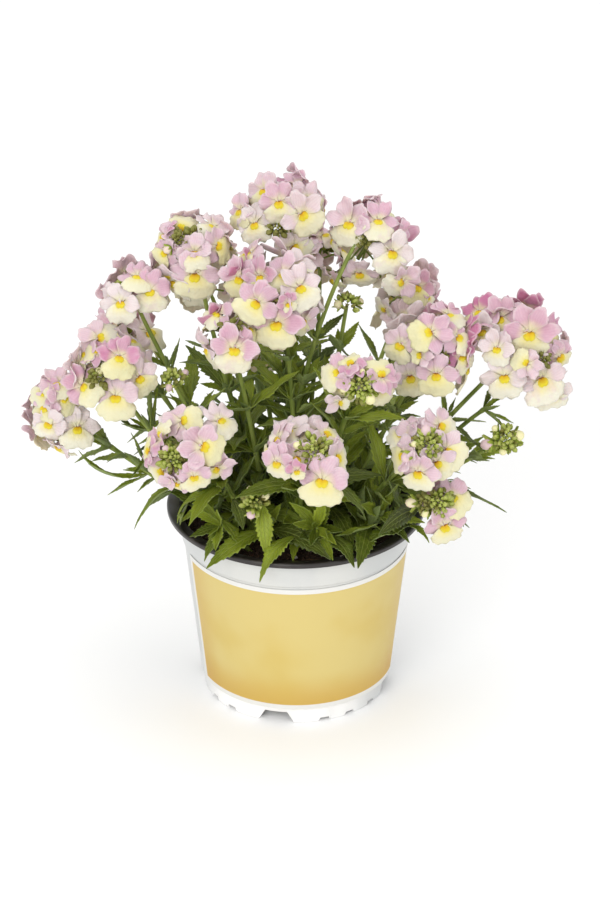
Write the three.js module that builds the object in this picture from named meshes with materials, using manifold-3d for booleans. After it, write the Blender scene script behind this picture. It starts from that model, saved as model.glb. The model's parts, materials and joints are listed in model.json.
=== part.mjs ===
// A potted nemesia: a 13 cm nursery pot with a label band, potting soil, a stake and the flowering plant.
// Millimetres, +Z up. The origin is on the ground in the middle of the pot's foot ring, +X is to the right
// and -Y is the front.

import * as THREE from 'three';
import { mergeVertices } from 'three/addons/utils/BufferGeometryUtils.js';
import loadManifold from 'manifold-3d';

const wasm = await loadManifold();
wasm.setup();

// Driving dimensions

const facets = 30; // sides of the pot, the label and the soil
const clearance = 0.3; // between pieces that touch
const leafMargin = 0.4; // extra room round a leaf or a flower when its place is chosen

const pot = {
  height: 102,
  rimRadius: 65,
  footRadius: 46.8,
  footHeight: 7.8,
  footFlare: 0.6,
  footRingWidth: 2.6,
  footRingDraft: 0.7,
  floorBottom: 6.2,
  floorTop: 7.8,
  radiusAtGround: 47.4, // of the tapered wall, carried down to the ground
  taper: 0.1108, // growth of the wall's radius for each millimetre up
  zoneLow: 8.6, // the recessed zone that takes the label
  zoneHigh: 84,
  bandStep: 1, // how far the band above that zone stands out
  innerLow: 46.2, // inner radius at the floor
  innerHigh: 57.4, // inner radius under the rim
  rimUnderside: 98.5,
};
// The flange from its underside over the turned-down edge to the inside: radius and height from the rim's
const flange = [[-6.2, -6], [-5.4, -3.7], [-0.9, -2.6], [0, -2.6], [0, -0.7], [-0.8, 0], [-6, -1.1]];
// Notches in the foot ring; they are cut from below the ground and from inside the ring
const notch = {
  count: 4,
  first: -12.7, // degrees from the front
  top: 11.4,
  bottom: 19.5,
  height: 6,
  below: 1,
  inside: 6,
  depth: 10,
};

const label = { low: 9, high: 83, middle: 5.5, halfAngle: 74.5, thick: 0.6 };

const soil = { edge: 88.5, crown: 90, crownRadius: 49 };

const stake = { x: 39, y: 12, width: 4.5, thick: 2, top: 137, point: 9, bottom: 30 };

const stem = {
  radius: 1.45,
  sides: 4,
  steps: 5, // of a stem that is longer than longOver, others have one less
  longOver: 90,
  depth: 13, // of the root below the soil's edge
  hole: 0.5, // room round a stem in the soil
  upward: 0.25, // how far it first leans up from the straight way to its head
  firstPull: 0.42, // lengths of the curve's handles, as shares of the straight way
  secondPull: 0.28,
  intoHead: 0.5, // where it ends under a head, as a share of the flowers' reach
};

// Toothed leaf edges as pairs of the place along the leaf and the share of the half width, and the
// places of the keel's points
const leafForms = {
  large: { edge: [[0, 0.05], [0.32, 1], [0.41, 0.76], [0.58, 0.9]], keel: [0, 0.45] },
  small: { edge: [[0, 0.1], [0.42, 1], [0.5, 0.72]], keel: [0, 0.5] },
};
const leaf = { thick: 1, slimness: 0.15, baseWidth: 1.2, smallUnder: 22 };

// Pairs of leaves up a stem: each one's length, its rise over square and its droop, from the lowest up
const leafPairs = [[46, 25, 0.8], [42, 35, 0.6], [34, 40, 0.4], [22, 45, 0.2]];
const youngPair = [21, 35, 0.6]; // at the end of a shoot that has no buds
const youngPlace = 0.97;
const internode = { first: 30, step: 24, last: 0.78 }; // lengths along a stem, and the highest place
const plantTurn = 77; // degrees from one flowering stem's first leaf to the next one's

// Right half of a flower's outline, from the notch at the top to the lip: across, up, forward
const flowerHalf = [
  [0, 5.8, -0.2],
  [1.4, 9.4, -1.2],
  [5.2, 8.4, -1],
  [5.3, 4.9, 0],
  [9.2, 2.8, -0.2],
  [4.8, -0.4, 0.4],
  [9, -4.6, 0.6],
  [5.2, -10.2, 0.2],
];
const flower = { boss: [0, -2, 2.2], half: 9.5, collar: 1.8, collarBack: -1, faceDepth: 3 };

const sideTilt = 12; // degrees from the way out of the head to a flower's face
const facingTilt = 26; // the same in a head that is seen from its tip
const facingFrom = 50; // first angle of a head like that

// Bud clusters: rings of radius and height, and the height of the top. In a head the heights are shares
// of the flowers' reach.
const core = {
  sides: 6,
  knob: 0.22,
  foot: 1.7,
  facing: 4.8,
  side: 3.2,
  facingFrom: 55,
  high: 0.35,
  crown: 5,
};
const neck = { high: 0.4, low: 0.1 }; // where the flowers' necks start in the core, as shares of the reach
const endBuds = { rings: [[1.2, -4], [3.6, 0], [3, 3]], top: 6.5 };

// Flower heads: the middle, the way the tip points, where the stem leaves the soil, the number of
// flowers and their distance from the middle, the angles from the tip that they cover, a turn and a size
const head = (name, at, tip, root, flowers, reach, band, turn, size) => {
  const tilt = band[0] < facingFrom ? sideTilt : facingTilt;
  return { name, at, tip, root, flowers, reach, band, turn, size, tilt };
};
const heads = [
  head('01', [-116, -5, 155], [-0.65, -0.25, 0.72], [-38, -2], 9, 17, [30, 120], 20, 0.95),
  head('02', [-90, -15, 181], [-0.3, -0.3, 0.9], [-31, -9], 10, 17.5, [30, 120], 75, 0.98),
  head('03', [-80, 5, 214], [-0.35, 0, 0.93], [-24, 3], 6, 13.5, [30, 115], 140, 1),
  head('04', [-49, 10, 234], [-0.15, 0, 0.98], [-17, 5], 9, 17, [30, 120], 10, 1),
  head('05', [-5, 25, 249], [0, 0.05, 1], [-3, 12], 10, 18, [28, 120], 95, 1),
  head('06', [-10, -15, 224], [-0.2, -0.35, 0.9], [1, -3], 11, 20, [28, 120], 50, 1.04),
  head('07', [-32, -27, 206], [-0.15, -0.55, 0.82], [-13, -9], 5, 12, [45, 110], 160, 1),
  head('08', [36, 20, 237], [0.5, 0.1, 0.85], [-4, 5], 10, 18, [30, 120], 30, 1),
  head('09', [56, 35, 202], [0.4, 0.3, 0.86], [18, 14], 5, 12, [32, 115], 100, 0.95),
  head('10', [66, -10, 193], [0.35, -0.3, 0.88], [20, -3], 10, 19, [30, 120], 65, 1.02),
  head('11', [109, 0, 187], [0.62, -0.15, 0.77], [32, 2], 11, 22, [28, 115], 15, 1.06),
  head('12', [29.5, -42, 190], [0.05, -0.85, 0.55], [9, -12], 5, 14, [62, 100], 0, 0.9),
  head('13', [-50, -55, 161], [-0.2, -0.85, 0.5], [-18, -17], 8, 18, [60, 105], 30, 1),
  head('14', [4.5, -65, 159], [0, -0.88, 0.48], [0, -20], 7, 16, [62, 105], 85, 1),
  head('15', [62, -50, 155], [0.2, -0.85, 0.5], [19, -15], 6, 15, [60, 105], 40, 0.95),
  head('16', [70, -50, 125], [0.35, -0.85, 0.3], [30, -19], 4, 12, [58, 100], 120, 0.9),
  head('17', [103, -20, 148], [0.7, -0.3, 0.6], [34, -8], 2, 8, [60, 100], 0, 0.6),
  head('18', [-45, 58, 195], [-0.4, 0.6, 0.8], [-12, 16], 5, 15, [35, 110], 35, 1),
  head('19', [12, 66, 203], [0, 0.6, 0.8], [3, 22], 5, 15, [35, 110], 10, 1),
  head('20', [58, 60, 172], [0.4, 0.6, 0.7], [18, 26], 5, 15, [35, 110], 60, 1),
  head('21', [-85, 45, 166], [-0.6, 0.4, 0.7], [-30, 12], 5, 15, [35, 110], 110, 1),
  head('22', [-18, 67, 158], [-0.1, 0.85, 0.5], [-8, 27], 5, 15, [50, 110], 0, 1),
];

// Leafy shoots that end in a bud cluster or in young leaves: the end, the way it points, the root,
// whether it has buds, and the turn of its first leaf
const shoot = (name, at, tip, root, buds, turn) => ({ name, at, tip, root, buds, turn });
const shoots = [
  shoot('23', [-20, -50, 128], [-0.2, -0.7, 0.6], [-9, -28], true, 20),
  shoot('24', [-60, -12, 175], [-0.3, -0.2, 0.9], [-22, -6], true, 60),
  shoot('25', [25, 12, 205], [0.15, 0, 1], [9, 4], true, 40),
  shoot('26', [-64, -28, 150], [-0.4, -0.3, 0.8], [-29, -20], true, 0),
  shoot('27', [10, -46, 112], [0, -0.8, 0.5], [9, -30], false, 30),
  shoot('28', [42, -36, 114], [0.5, -0.6, 0.5], [27, -31], false, 0),
  shoot('29', [95, 0, 155], [0.75, -0.1, 0.6], [41, 8], false, 30),
  shoot('30', [-38, -44, 112], [-0.5, -0.7, 0.5], [-22, -29], false, 20),
];

const degree = Math.PI / 180;
const goldenAngle = 137.5 * degree;
const up = new THREE.Vector3(0, 0, 1);
const vector = (list) => new THREE.Vector3(...list);
// The direction at an angle from the first of two directions towards the second
const between = (first, second, angle) => (
  first.clone().multiplyScalar(Math.cos(angle)).addScaledVector(second, Math.sin(angle))
);

// A plant's own directions: the way its tip points and two across it
function axesOf(plant) {
  const axis = vector(plant.tip).normalize();
  const across = axis.clone().cross(new THREE.Vector3(0, 1, 0)).normalize();
  return { axis, across, over: axis.clone().cross(across) };
}

// Solids and geometries

function solidOf(geometry) {
  const bare = geometry.clone();
  bare.deleteAttribute('normal');
  bare.deleteAttribute('uv');
  const merged = mergeVertices(bare, 1e-5);
  return new wasm.Manifold(new wasm.Mesh({
    numProp: 3,
    vertProperties: new Float32Array(merged.attributes.position.array),
    triVerts: new Uint32Array(merged.index.array),
  }));
}

function solidOfPoints(points, triangles) {
  return new wasm.Manifold(new wasm.Mesh({
    numProp: 3,
    vertProperties: new Float32Array(points.flatMap((point) => point.toArray())),
    triVerts: new Uint32Array(triangles.flat()),
  }));
}

function geometryOf(solid) {
  const mesh = solid.getMesh();
  const geometry = new THREE.BufferGeometry();
  geometry.setAttribute('position', new THREE.BufferAttribute(new Float32Array(mesh.vertProperties), 3));
  geometry.setIndex(new THREE.BufferAttribute(new Uint32Array(mesh.triVerts), 1));
  geometry.computeVertexNormals();
  return geometry;
}

function lathe(profile) {
  const points = profile.map(([radius, height]) => new THREE.Vector2(radius, height));
  return solidOf(new THREE.LatheGeometry(points, facets).rotateX(Math.PI / 2));
}

// The pot

const wallRadius = (z) => pot.radiusAtGround + pot.taper * z;

function innerRadius(z) {
  const share = (z - pot.floorTop) / (pot.rimUnderside - pot.floorTop);
  return THREE.MathUtils.lerp(pot.innerLow, pot.innerHigh, share);
}

// A prism that cuts a notch through the foot ring, its outline given across and up
function footCutter(outline, angle) {
  const inner = pot.footRadius - notch.inside;
  const shape = new THREE.Shape(outline.map(([across, height]) => new THREE.Vector2(across, height)));
  const geometry = new THREE.ExtrudeGeometry(shape, { depth: notch.depth, bevelEnabled: false });
  const outward = new THREE.Vector3(Math.sin(angle), -Math.cos(angle), 0);
  const across = new THREE.Vector3(Math.cos(angle), Math.sin(angle), 0);
  const place = new THREE.Matrix4().makeBasis(across, up, outward);
  return solidOf(geometry.translate(0, 0, inner).applyMatrix4(place));
}

function makePot() {
  const ringInner = pot.footRadius - pot.footRingWidth;
  let solid = lathe([
    [0, pot.floorBottom],
    [ringInner - pot.footRingDraft, pot.floorBottom],
    [ringInner, 0],
    [pot.footRadius, 0],
    [pot.footRadius + pot.footFlare, pot.footHeight],
    [wallRadius(pot.zoneLow), pot.zoneLow],
    [wallRadius(pot.zoneHigh), pot.zoneHigh],
    [wallRadius(pot.zoneHigh) + pot.bandStep, pot.zoneHigh + pot.bandStep],
    ...flange.map(([outward, rise]) => [pot.rimRadius + outward, pot.height + rise]),
    [pot.innerHigh, pot.rimUnderside],
    [pot.innerLow, pot.floorTop],
    [0, pot.floorTop],
  ]);
  const outline = [
    [-notch.bottom / 2, -notch.below],
    [notch.bottom / 2, -notch.below],
    [notch.top / 2, notch.height],
    [-notch.top / 2, notch.height],
  ];
  for (let index = 0; index < notch.count; index += 1) {
    const turn = notch.first + (index * 360) / notch.count;
    solid = solid.subtract(footCutter(outline, turn * degree));
  }
  return solid;
}

function makeLabel() {
  const inner = (z) => wallRadius(z) + clearance;
  const ring = lathe([
    [inner(label.low), label.low],
    [inner(label.low) + label.thick, label.low],
    [inner(label.high) + label.thick, label.high],
    [inner(label.high), label.high],
    [inner(label.low), label.low],
  ]);
  const far = 3 * pot.rimRadius;
  const corners = [-label.halfAngle, 0, label.halfAngle].map((offset) => {
    const angle = (label.middle + offset) * degree;
    return new THREE.Vector2(far * Math.sin(angle), -far * Math.cos(angle));
  });
  const sector = new THREE.Shape([new THREE.Vector2(0, 0), ...corners]);
  const wedge = new THREE.ExtrudeGeometry(sector, { depth: pot.height, bevelEnabled: false });
  return ring.intersect(solidOf(wedge));
}

function makeSoil() {
  const radius = (z) => innerRadius(z) - clearance;
  const bottom = pot.floorTop + clearance;
  return lathe([
    [0, bottom],
    [radius(bottom), bottom],
    [radius(soil.edge), soil.edge],
    [soil.crownRadius, soil.crown],
    [0, soil.crown],
  ]);
}

// The stake, with room round it when it cuts its own slot in the soil
function makeStake(room) {
  const half = stake.width / 2 + room;
  const { top, bottom, point, thick } = stake;
  const shape = new THREE.Shape([
    new THREE.Vector2(0, bottom - 2 * room),
    new THREE.Vector2(half, bottom + point),
    new THREE.Vector2(half, top),
    new THREE.Vector2(-half, top),
    new THREE.Vector2(-half, bottom + point),
  ]);
  const depth = thick + 2 * room;
  const geometry = new THREE.ExtrudeGeometry(shape, { depth, bevelEnabled: false });
  return solidOf(geometry.rotateX(Math.PI / 2).translate(stake.x, stake.y + depth / 2, 0));
}

// The stems

// A stem's curve, from where it stands in the soil to just under its head
function stemCurve(plant) {
  const tip = vector(plant.tip).normalize();
  const start = new THREE.Vector3(plant.root[0], plant.root[1], soil.edge);
  const end = vector(plant.at).addScaledVector(tip, -(plant.reach ?? 0) * stem.intoHead);
  const chord = end.clone().sub(start);
  const length = chord.length();
  const rise = chord.clone().addScaledVector(up, stem.upward * length).normalize();
  start.addScaledVector(rise, -stem.depth);
  const first = start.clone().addScaledVector(rise, stem.firstPull * length);
  const second = end.clone().addScaledVector(tip, -stem.secondPull * length);
  return new THREE.CubicBezierCurve3(start, first, second, end);
}

function makeStem(curve, room) {
  const steps = curve.getLength() > stem.longOver ? stem.steps : stem.steps - 1;
  const radius = stem.radius + room * Math.SQRT2;
  const corners = [];
  for (let side = 0; side < stem.sides; side += 1) {
    const angle = (side * 2 * Math.PI) / stem.sides;
    corners.push(new THREE.Vector2(radius * Math.cos(angle), radius * Math.sin(angle)));
  }
  const path = curve.clone();
  const below = path.v1.clone().sub(path.v0).setLength(room);
  path.v0.sub(below);
  const settings = { steps, extrudePath: path, bevelEnabled: false };
  return solidOf(new THREE.ExtrudeGeometry(new THREE.Shape(corners), settings));
}

// The way along the stem at t, and two directions across it: the first lies level, square to the
// plane that the stem bends in
function stemFrame(plant, t) {
  const along = plant.curve.getTangent(t);
  const [x, y] = [plant.at[0] - plant.root[0], plant.at[1] - plant.root[1]];
  const level = new THREE.Vector3(-y, x, 0).normalize();
  const across = level.addScaledVector(along, -level.dot(along)).normalize();
  return { at: plant.curve.getPoint(t), along, across, over: along.clone().cross(across) };
}

// The leaves

// Triangles between two chains of points that both run from base to tip; each entry is an index and
// its place along the leaf
function strip(left, right) {
  const triangles = [];
  let [i, j] = [0, 0];
  while (i < left.length - 1 || j < right.length - 1) {
    const leftNext = i < left.length - 1 ? left[i + 1][1] : Infinity;
    const rightNext = j < right.length - 1 ? right[j + 1][1] : Infinity;
    const onLeft = leftNext <= rightNext;
    const next = onLeft ? left[i + 1][0] : right[j + 1][0];
    const triangle = [left[i][0], next, right[j][0]];
    if (new Set(triangle).size === 3) triangles.push(triangle);
    if (onLeft) i += 1;
    else j += 1;
  }
  return triangles;
}

function makeLeaf(frame, turn, lift, droop, length, room) {
  const side = between(frame.across, frame.over, turn);
  const out = between(side, frame.along, lift);
  const sink = out.clone().addScaledVector(up, -droop).normalize();
  const middle = frame.at.clone().addScaledVector(out, length / 2);
  const end = middle.clone().addScaledVector(sink, length / 2 + room);
  const curve = new THREE.QuadraticBezierCurve3(frame.at, middle, end);
  const wide = frame.along.clone().cross(side).normalize();
  const form = length < leaf.smallUnder ? leafForms.small : leafForms.large;
  const points = [];
  const add = (point) => points.push(point) - 1;
  const edges = [1, -1].map((hand) => form.edge.map(([station, share]) => {
    const half = share * (leaf.slimness * length + leaf.baseWidth) + room;
    return [add(curve.getPoint(station).addScaledVector(wide, hand * half)), station];
  }));
  const keel = form.keel.map((station) => {
    const below = wide.clone().cross(curve.getTangent(station));
    return [add(curve.getPoint(station).addScaledVector(below, leaf.thick + 2 * room)), station];
  });
  const tip = [add(end.clone()), 1];
  const [left, right, bottom] = [...edges, keel].map((chain) => [...chain, tip]);
  const triangles = [
    ...strip(right, left),
    ...strip(left, bottom),
    ...strip(bottom, right),
    [left[0][0], bottom[0][0], right[0][0]],
  ];
  return solidOfPoints(points, triangles);
}

// The flowers

// The flower's outline all round, clockwise from the notch at the top
const flowerOutline = [
  ...flowerHalf,
  ...flowerHalf.slice(1).reverse().map(([across, high, forward]) => [-across, high, forward]),
];

// Which of the neck's three corners each side of the outline runs to
const neckCorner = flowerOutline.map((point, side) => {
  if (side < 3 || side > 11) return 0;
  return side < 8 ? 1 : 2;
});

// A flower at a point, with the way it faces, the way its lip hangs and the spot where its neck is rooted
function makeFlower(at, face, lip, root, size, room) {
  const high = lip.clone().negate();
  const across = high.clone().cross(face);
  const swell = size + room / flower.half;
  const spot = (x, y, z) => at.clone()
    .addScaledVector(across, x * swell).addScaledVector(high, y * swell).addScaledVector(face, z * swell);
  const points = flowerOutline.map((place) => spot(...place));
  const count = points.length;
  const next = (k) => (k + 1) % count;
  const boss = points.push(spot(...flower.boss)) - 1;
  const foot = points.push(root.clone()) - 1;
  const collar = [90, -30, 210].map((angle) => {
    const [x, y] = [Math.cos(angle * degree), Math.sin(angle * degree)];
    return points.push(spot(flower.collar * x, flower.collar * y, flower.collarBack)) - 1;
  });
  const triangles = [];
  for (let k = 0; k < count; k += 1) {
    const [corner, before] = [collar[neckCorner[k]], collar[neckCorner[(k + count - 1) % count]]];
    triangles.push([boss, next(k), k], [corner, k, next(k)]);
    if (corner !== before) triangles.push([corner, before, k]);
  }
  for (let k = 0; k < 3; k += 1) triangles.push([collar[k], collar[(k + 1) % 3], foot]);
  return solidOfPoints(points, triangles);
}

// A bud cluster along the tip's way, from rings of radius and height, with knobs all round it
function makeCore(plant, rings, top) {
  const { axis, across, over } = axesOf(plant);
  const from = vector(plant.at);
  const points = [];
  const triangles = [];
  const sides = core.sides;
  rings.forEach(([width, height], ring) => {
    for (let side = 0; side < sides; side += 1) {
      const radius = ring ? width * (1 + core.knob * (-1) ** (side + ring)) : width;
      const outward = between(across, over, (side * 2 * Math.PI) / sides);
      points.push(from.clone().addScaledVector(axis, height).addScaledVector(outward, radius));
    }
  });
  points.push(from.clone().addScaledVector(axis, top));
  for (let ring = 0; ring < rings.length; ring += 1) {
    for (let side = 0; side < sides; side += 1) {
      const [a, b] = [ring * sides + side, ring * sides + ((side + 1) % sides)];
      if (ring === rings.length - 1) triangles.push([a, b, points.length - 1]);
      else triangles.push([a, b, b + sides], [a, b + sides, a + sides]);
    }
  }
  for (let side = 2; side < sides; side += 1) triangles.push([0, side, side - 1]);
  return solidOfPoints(points, triangles);
}

function makeHeadCore(plant) {
  const { reach, band } = plant;
  const wide = band[0] >= core.facingFrom ? core.facing : core.side;
  const rings = [[core.foot, clearance - stem.intoHead * reach], [wide, 0], [wide, core.high * reach]];
  return makeCore(plant, rings, core.high * reach + core.crown);
}

// Placing. A flower or a leaf is tried at its own place and then at others near by, until it keeps
// clear of the pieces of every other node.

const pieces = new Map();

function keep(node, solid) {
  if (!pieces.has(node)) pieces.set(node, []);
  pieces.get(node).push({ solid, box: solid.boundingBox() });
}

function boxesMeet(a, b) {
  return [0, 1, 2].every((axis) => a.min[axis] < b.max[axis] && b.min[axis] < a.max[axis]);
}

function isClear(solid, node) {
  const box = solid.boundingBox();
  for (const [name, others] of pieces) {
    if (name === node) continue;
    for (const other of others) {
      if (!boxesMeet(box, other.box)) continue;
      const shared = solid.intersect(other.solid);
      const apart = shared.isEmpty();
      shared.delete();
      if (!apart) return false;
    }
  }
  return true;
}

// Whether the face of a flower misses the flowers already in its own head
function missesOwn(face, node) {
  const box = face.boundingBox();
  return pieces.get(node).slice(1).every((other) => {
    if (!boxesMeet(box, other.box)) return true;
    const shared = face.intersect(other.solid);
    const apart = shared.isEmpty();
    shared.delete();
    return apart;
  });
}

function placeFirstClear(node, options, make) {
  const chosen = options.find((option) => isClear(make(option, leafMargin), node));
  if (chosen) keep(node, make(chosen, 0));
}

function combine(lists) {
  return lists.reduce((sets, list) => sets.flatMap((set) => list.map((value) => [...set, value])), [[]]);
}

const flowerOptions = combine([[1, 0.93, 0.86], [0, 1.5, 3, -1.5], [0, -10, 10], [0, 8, -8, 16, -16]]);
const leafOptions = combine([[1, 0.85, 0.7, 0.55], [0, 25, -25, 50, -50], [0, 15, -15]]);

// One of a head's flowers, without its neck when only the face is asked for
function flowerAt(plant, index, [scale, push, lean, turn], room, faceOnly) {
  const { axis, across, over } = axesOf(plant);
  const [first, last] = plant.band.map((angle) => Math.cos(angle * degree));
  const fromTip = Math.acos(THREE.MathUtils.lerp(first, last, (index + 0.5) / plant.flowers));
  const radial = between(across, over, (plant.turn + turn) * degree + index * goldenAngle);
  const facing = fromTip - (plant.tilt + lean) * degree;
  const face = between(axis, radial, facing);
  const lip = between(axis, radial, facing + Math.PI / 2);
  const middle = vector(plant.at);
  const place = middle.clone().addScaledVector(between(axis, radial, fromTip), plant.reach + push);
  const rootHeight = plant.reach * (neck.high * Math.cos(fromTip) - neck.low);
  const root = faceOnly
    ? place.clone().addScaledVector(face, -flower.faceDepth)
    : middle.addScaledVector(axis, rootHeight);
  return makeFlower(place, face, lip, root, plant.size * scale, room);
}

// The first place where a flower's face misses its own head's flowers, or else the first clear one
function placeFlower(plant, index) {
  const free = flowerOptions.filter((option) => (
    isClear(flowerAt(plant, index, option, leafMargin, false), plant.head)
  ));
  const alone = free.find((option) => missesOwn(flowerAt(plant, index, option, 0, true), plant.head));
  keep(plant.head, flowerAt(plant, index, alone ?? free[0], 0, false));
}

// A leaf of a pair, a number of quarter turns round the stem
function leafAt(plant, [place, length, rise, droop], quarters, [scale, turn, lift], room) {
  const frame = stemFrame(plant, place);
  const round = (plant.first + 90 * quarters + turn) * degree;
  return makeLeaf(frame, round, (rise + lift) * degree, droop, length * scale, room);
}

// Pairs of leaves up a stem, each turned a quarter from the pair below
function addLeaves(plant) {
  const length = plant.curve.getLength();
  const pairs = leafPairs
    .map((pair, index) => [(internode.first + internode.step * index) / length, ...pair])
    .filter(([place]) => place < internode.last);
  if (plant.buds === false) pairs.push([youngPlace, ...youngPair]);
  pairs.forEach((pair, index) => {
    for (const hand of [0, 1]) {
      const make = (option, room) => leafAt(plant, pair, index + 2 * hand, option, room);
      placeFirstClear(plant.node, leafOptions, make);
    }
  });
}

keep('pot', makePot());
keep('label', makeLabel());
keep('stake', makeStake(0));
const plants = [...heads, ...shoots];
plants.forEach((plant, index) => {
  plant.curve = stemCurve(plant);
  plant.head = `head_${plant.name}`;
  plant.node = plant.flowers ? `stem_${plant.name}` : `shoot_${plant.name}`;
  plant.first = plant.flowers ? index * plantTurn : plant.turn;
  keep(plant.node, makeStem(plant.curve, 0));
  if (plant.buds) keep(plant.node, makeCore(plant, endBuds.rings, endBuds.top));
});
const holes = [makeStake(clearance), ...plants.map((plant) => makeStem(plant.curve, stem.hole))];
keep('soil', holes.reduce((ground, hole) => ground.subtract(hole), makeSoil()));
for (const plant of heads) keep(plant.head, makeHeadCore(plant));
for (const plant of heads) {
  for (let index = 0; index < plant.flowers; index += 1) placeFlower(plant, index);
}
for (const plant of plants) addLeaves(plant);

// Colour and roughness by the first word of a node's name
const finishes = {
  pot: [0xf2f1ee, 0.35],
  label: [0xe6cf7e, 0.6],
  stake: [0x23222c, 0.5],
  soil: [0x3a2a20, 0.95],
  stem: [0x4f7a26, 0.6],
  shoot: [0x5c8a2c, 0.6],
  head: [0xdcb0cf, 0.65],
};

function makePart() {
  const group = new THREE.Group();
  for (const [name, list] of pieces) {
    const [color, roughness] = finishes[name.split('_')[0]];
    const solid = list.map((piece) => piece.solid).reduce((whole, piece) => whole.add(piece));
    const material = new THREE.MeshStandardMaterial({ color, roughness, metalness: 0 });
    const mesh = new THREE.Mesh(geometryOf(solid), material);
    mesh.name = name;
    group.add(mesh);
  }
  return group;
}

export default makePart();
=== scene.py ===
import json
import math
import random

import bmesh
import bpy
import numpy as np
from mathutils import Matrix, Vector
from mathutils.kdtree import KDTree

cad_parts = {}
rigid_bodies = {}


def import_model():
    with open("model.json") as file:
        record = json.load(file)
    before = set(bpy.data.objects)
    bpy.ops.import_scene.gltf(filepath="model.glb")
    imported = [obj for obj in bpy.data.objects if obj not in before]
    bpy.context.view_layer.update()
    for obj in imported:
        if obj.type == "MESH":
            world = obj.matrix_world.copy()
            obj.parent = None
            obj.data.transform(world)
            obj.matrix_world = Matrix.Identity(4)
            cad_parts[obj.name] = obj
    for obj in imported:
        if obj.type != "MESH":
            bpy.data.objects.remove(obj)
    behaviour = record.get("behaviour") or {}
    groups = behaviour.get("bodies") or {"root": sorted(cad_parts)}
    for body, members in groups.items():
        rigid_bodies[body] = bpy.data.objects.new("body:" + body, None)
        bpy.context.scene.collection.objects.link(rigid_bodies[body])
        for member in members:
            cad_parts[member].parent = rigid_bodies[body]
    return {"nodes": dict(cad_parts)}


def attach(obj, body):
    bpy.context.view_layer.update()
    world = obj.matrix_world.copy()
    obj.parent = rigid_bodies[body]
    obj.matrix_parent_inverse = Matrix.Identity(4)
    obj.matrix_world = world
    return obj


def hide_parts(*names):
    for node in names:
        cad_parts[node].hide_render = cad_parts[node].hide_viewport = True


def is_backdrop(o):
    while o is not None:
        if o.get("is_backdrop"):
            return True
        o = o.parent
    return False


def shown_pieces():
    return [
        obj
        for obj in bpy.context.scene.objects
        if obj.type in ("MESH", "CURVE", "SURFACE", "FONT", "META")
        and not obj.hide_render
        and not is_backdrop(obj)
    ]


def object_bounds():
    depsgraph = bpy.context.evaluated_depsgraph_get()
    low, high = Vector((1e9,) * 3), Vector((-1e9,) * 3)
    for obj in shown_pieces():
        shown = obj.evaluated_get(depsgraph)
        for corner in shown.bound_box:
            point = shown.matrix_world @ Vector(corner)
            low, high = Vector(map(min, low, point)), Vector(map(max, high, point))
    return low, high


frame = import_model()
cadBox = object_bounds()
print("frame loaded with", len(frame["nodes"]), "nodes")

mm = 0.001
goldenAngle = math.radians(137.5)

# Camera, floor and studio light

studio = {
    "aim": (2, 0, 131),  # mm
    "elevation": 28,  # degrees
    "distance": 2200,  # mm
    "lens": 176,
    "floorSize": 9,  # m
    "worldStrength": 0.86,
    "lamps": [  # name, place, size and watts
        ("key", (-0.7, -2.0, 1.4), 1.4, 22),
        ("fill", (1.5, -1.6, 0.8), 1.4, 4),
        ("top", (0.1, 0.2, 2.6), 2.2, 15),
    ],
}


def linearColour(red, green, blue):  # of a screen colour from 0 to 255
    parts = [value / 255 for value in (red, green, blue)]
    linear = [part / 12.92 if part <= 0.04045 else ((part + 0.055) / 1.055) ** 2.4 for part in parts]
    return (*linear, 1.0)


def colours(**screen):
    return {name: linearColour(*value) for name, value in screen.items()}


def pointAt(thing, place, aim):
    way = np.array(aim, float) - np.array(place, float)
    back = -way / np.linalg.norm(way)
    right = np.cross((0, 0, 1), back)
    right /= np.linalg.norm(right)
    turned = Matrix((right, np.cross(back, right), back)).transposed().to_4x4()
    thing.matrix_world = Matrix.Translation(place) @ turned


def setUpStudio(look):
    scene = bpy.context.scene
    scene.view_settings.view_transform = "Standard"
    aim = np.array(look["aim"]) * mm
    tilt = math.radians(look["elevation"])
    place = aim + np.array((0, -math.cos(tilt), math.sin(tilt))) * look["distance"] * mm
    lens = bpy.data.cameras.new("camera")
    lens.lens = look["lens"]
    lens.clip_end = 50
    camera = bpy.data.objects.new("camera", lens)
    scene.collection.objects.link(camera)
    pointAt(camera, place, aim)
    scene.camera = camera

    world = bpy.data.worlds.new("softbox")
    world.use_nodes = True
    scene.world = world
    sky = world.node_tree.nodes["Background"]
    sky.inputs["Color"].default_value = (1, 1, 1, 1)
    sky.inputs["Strength"].default_value = look["worldStrength"]

    for name, spot, size, watts in look["lamps"]:
        light = bpy.data.lights.new(name, "AREA")
        light.shape = "DISK"
        light.size = size
        light.energy = watts
        lamp = bpy.data.objects.new(name, light)
        scene.collection.objects.link(lamp)
        pointAt(lamp, spot, (0, 0, 0.12))


# Nodes. A wire is a node's output, and sums and products of wires add Math nodes.

class Wire:
    def __init__(self, graph, socket):
        self.graph = graph
        self.socket = socket

    def __add__(self, other):
        return self.graph.maths("ADD", self, other)

    def __sub__(self, other):
        return self.graph.maths("SUBTRACT", self, other)

    def __rsub__(self, other):
        return self.graph.maths("SUBTRACT", other, self)

    def __mul__(self, other):
        return self.graph.maths("MULTIPLY", self, other)

    def __pow__(self, other):
        return self.graph.maths("POWER", self, other)

    __radd__ = __add__
    __rmul__ = __mul__


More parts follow.
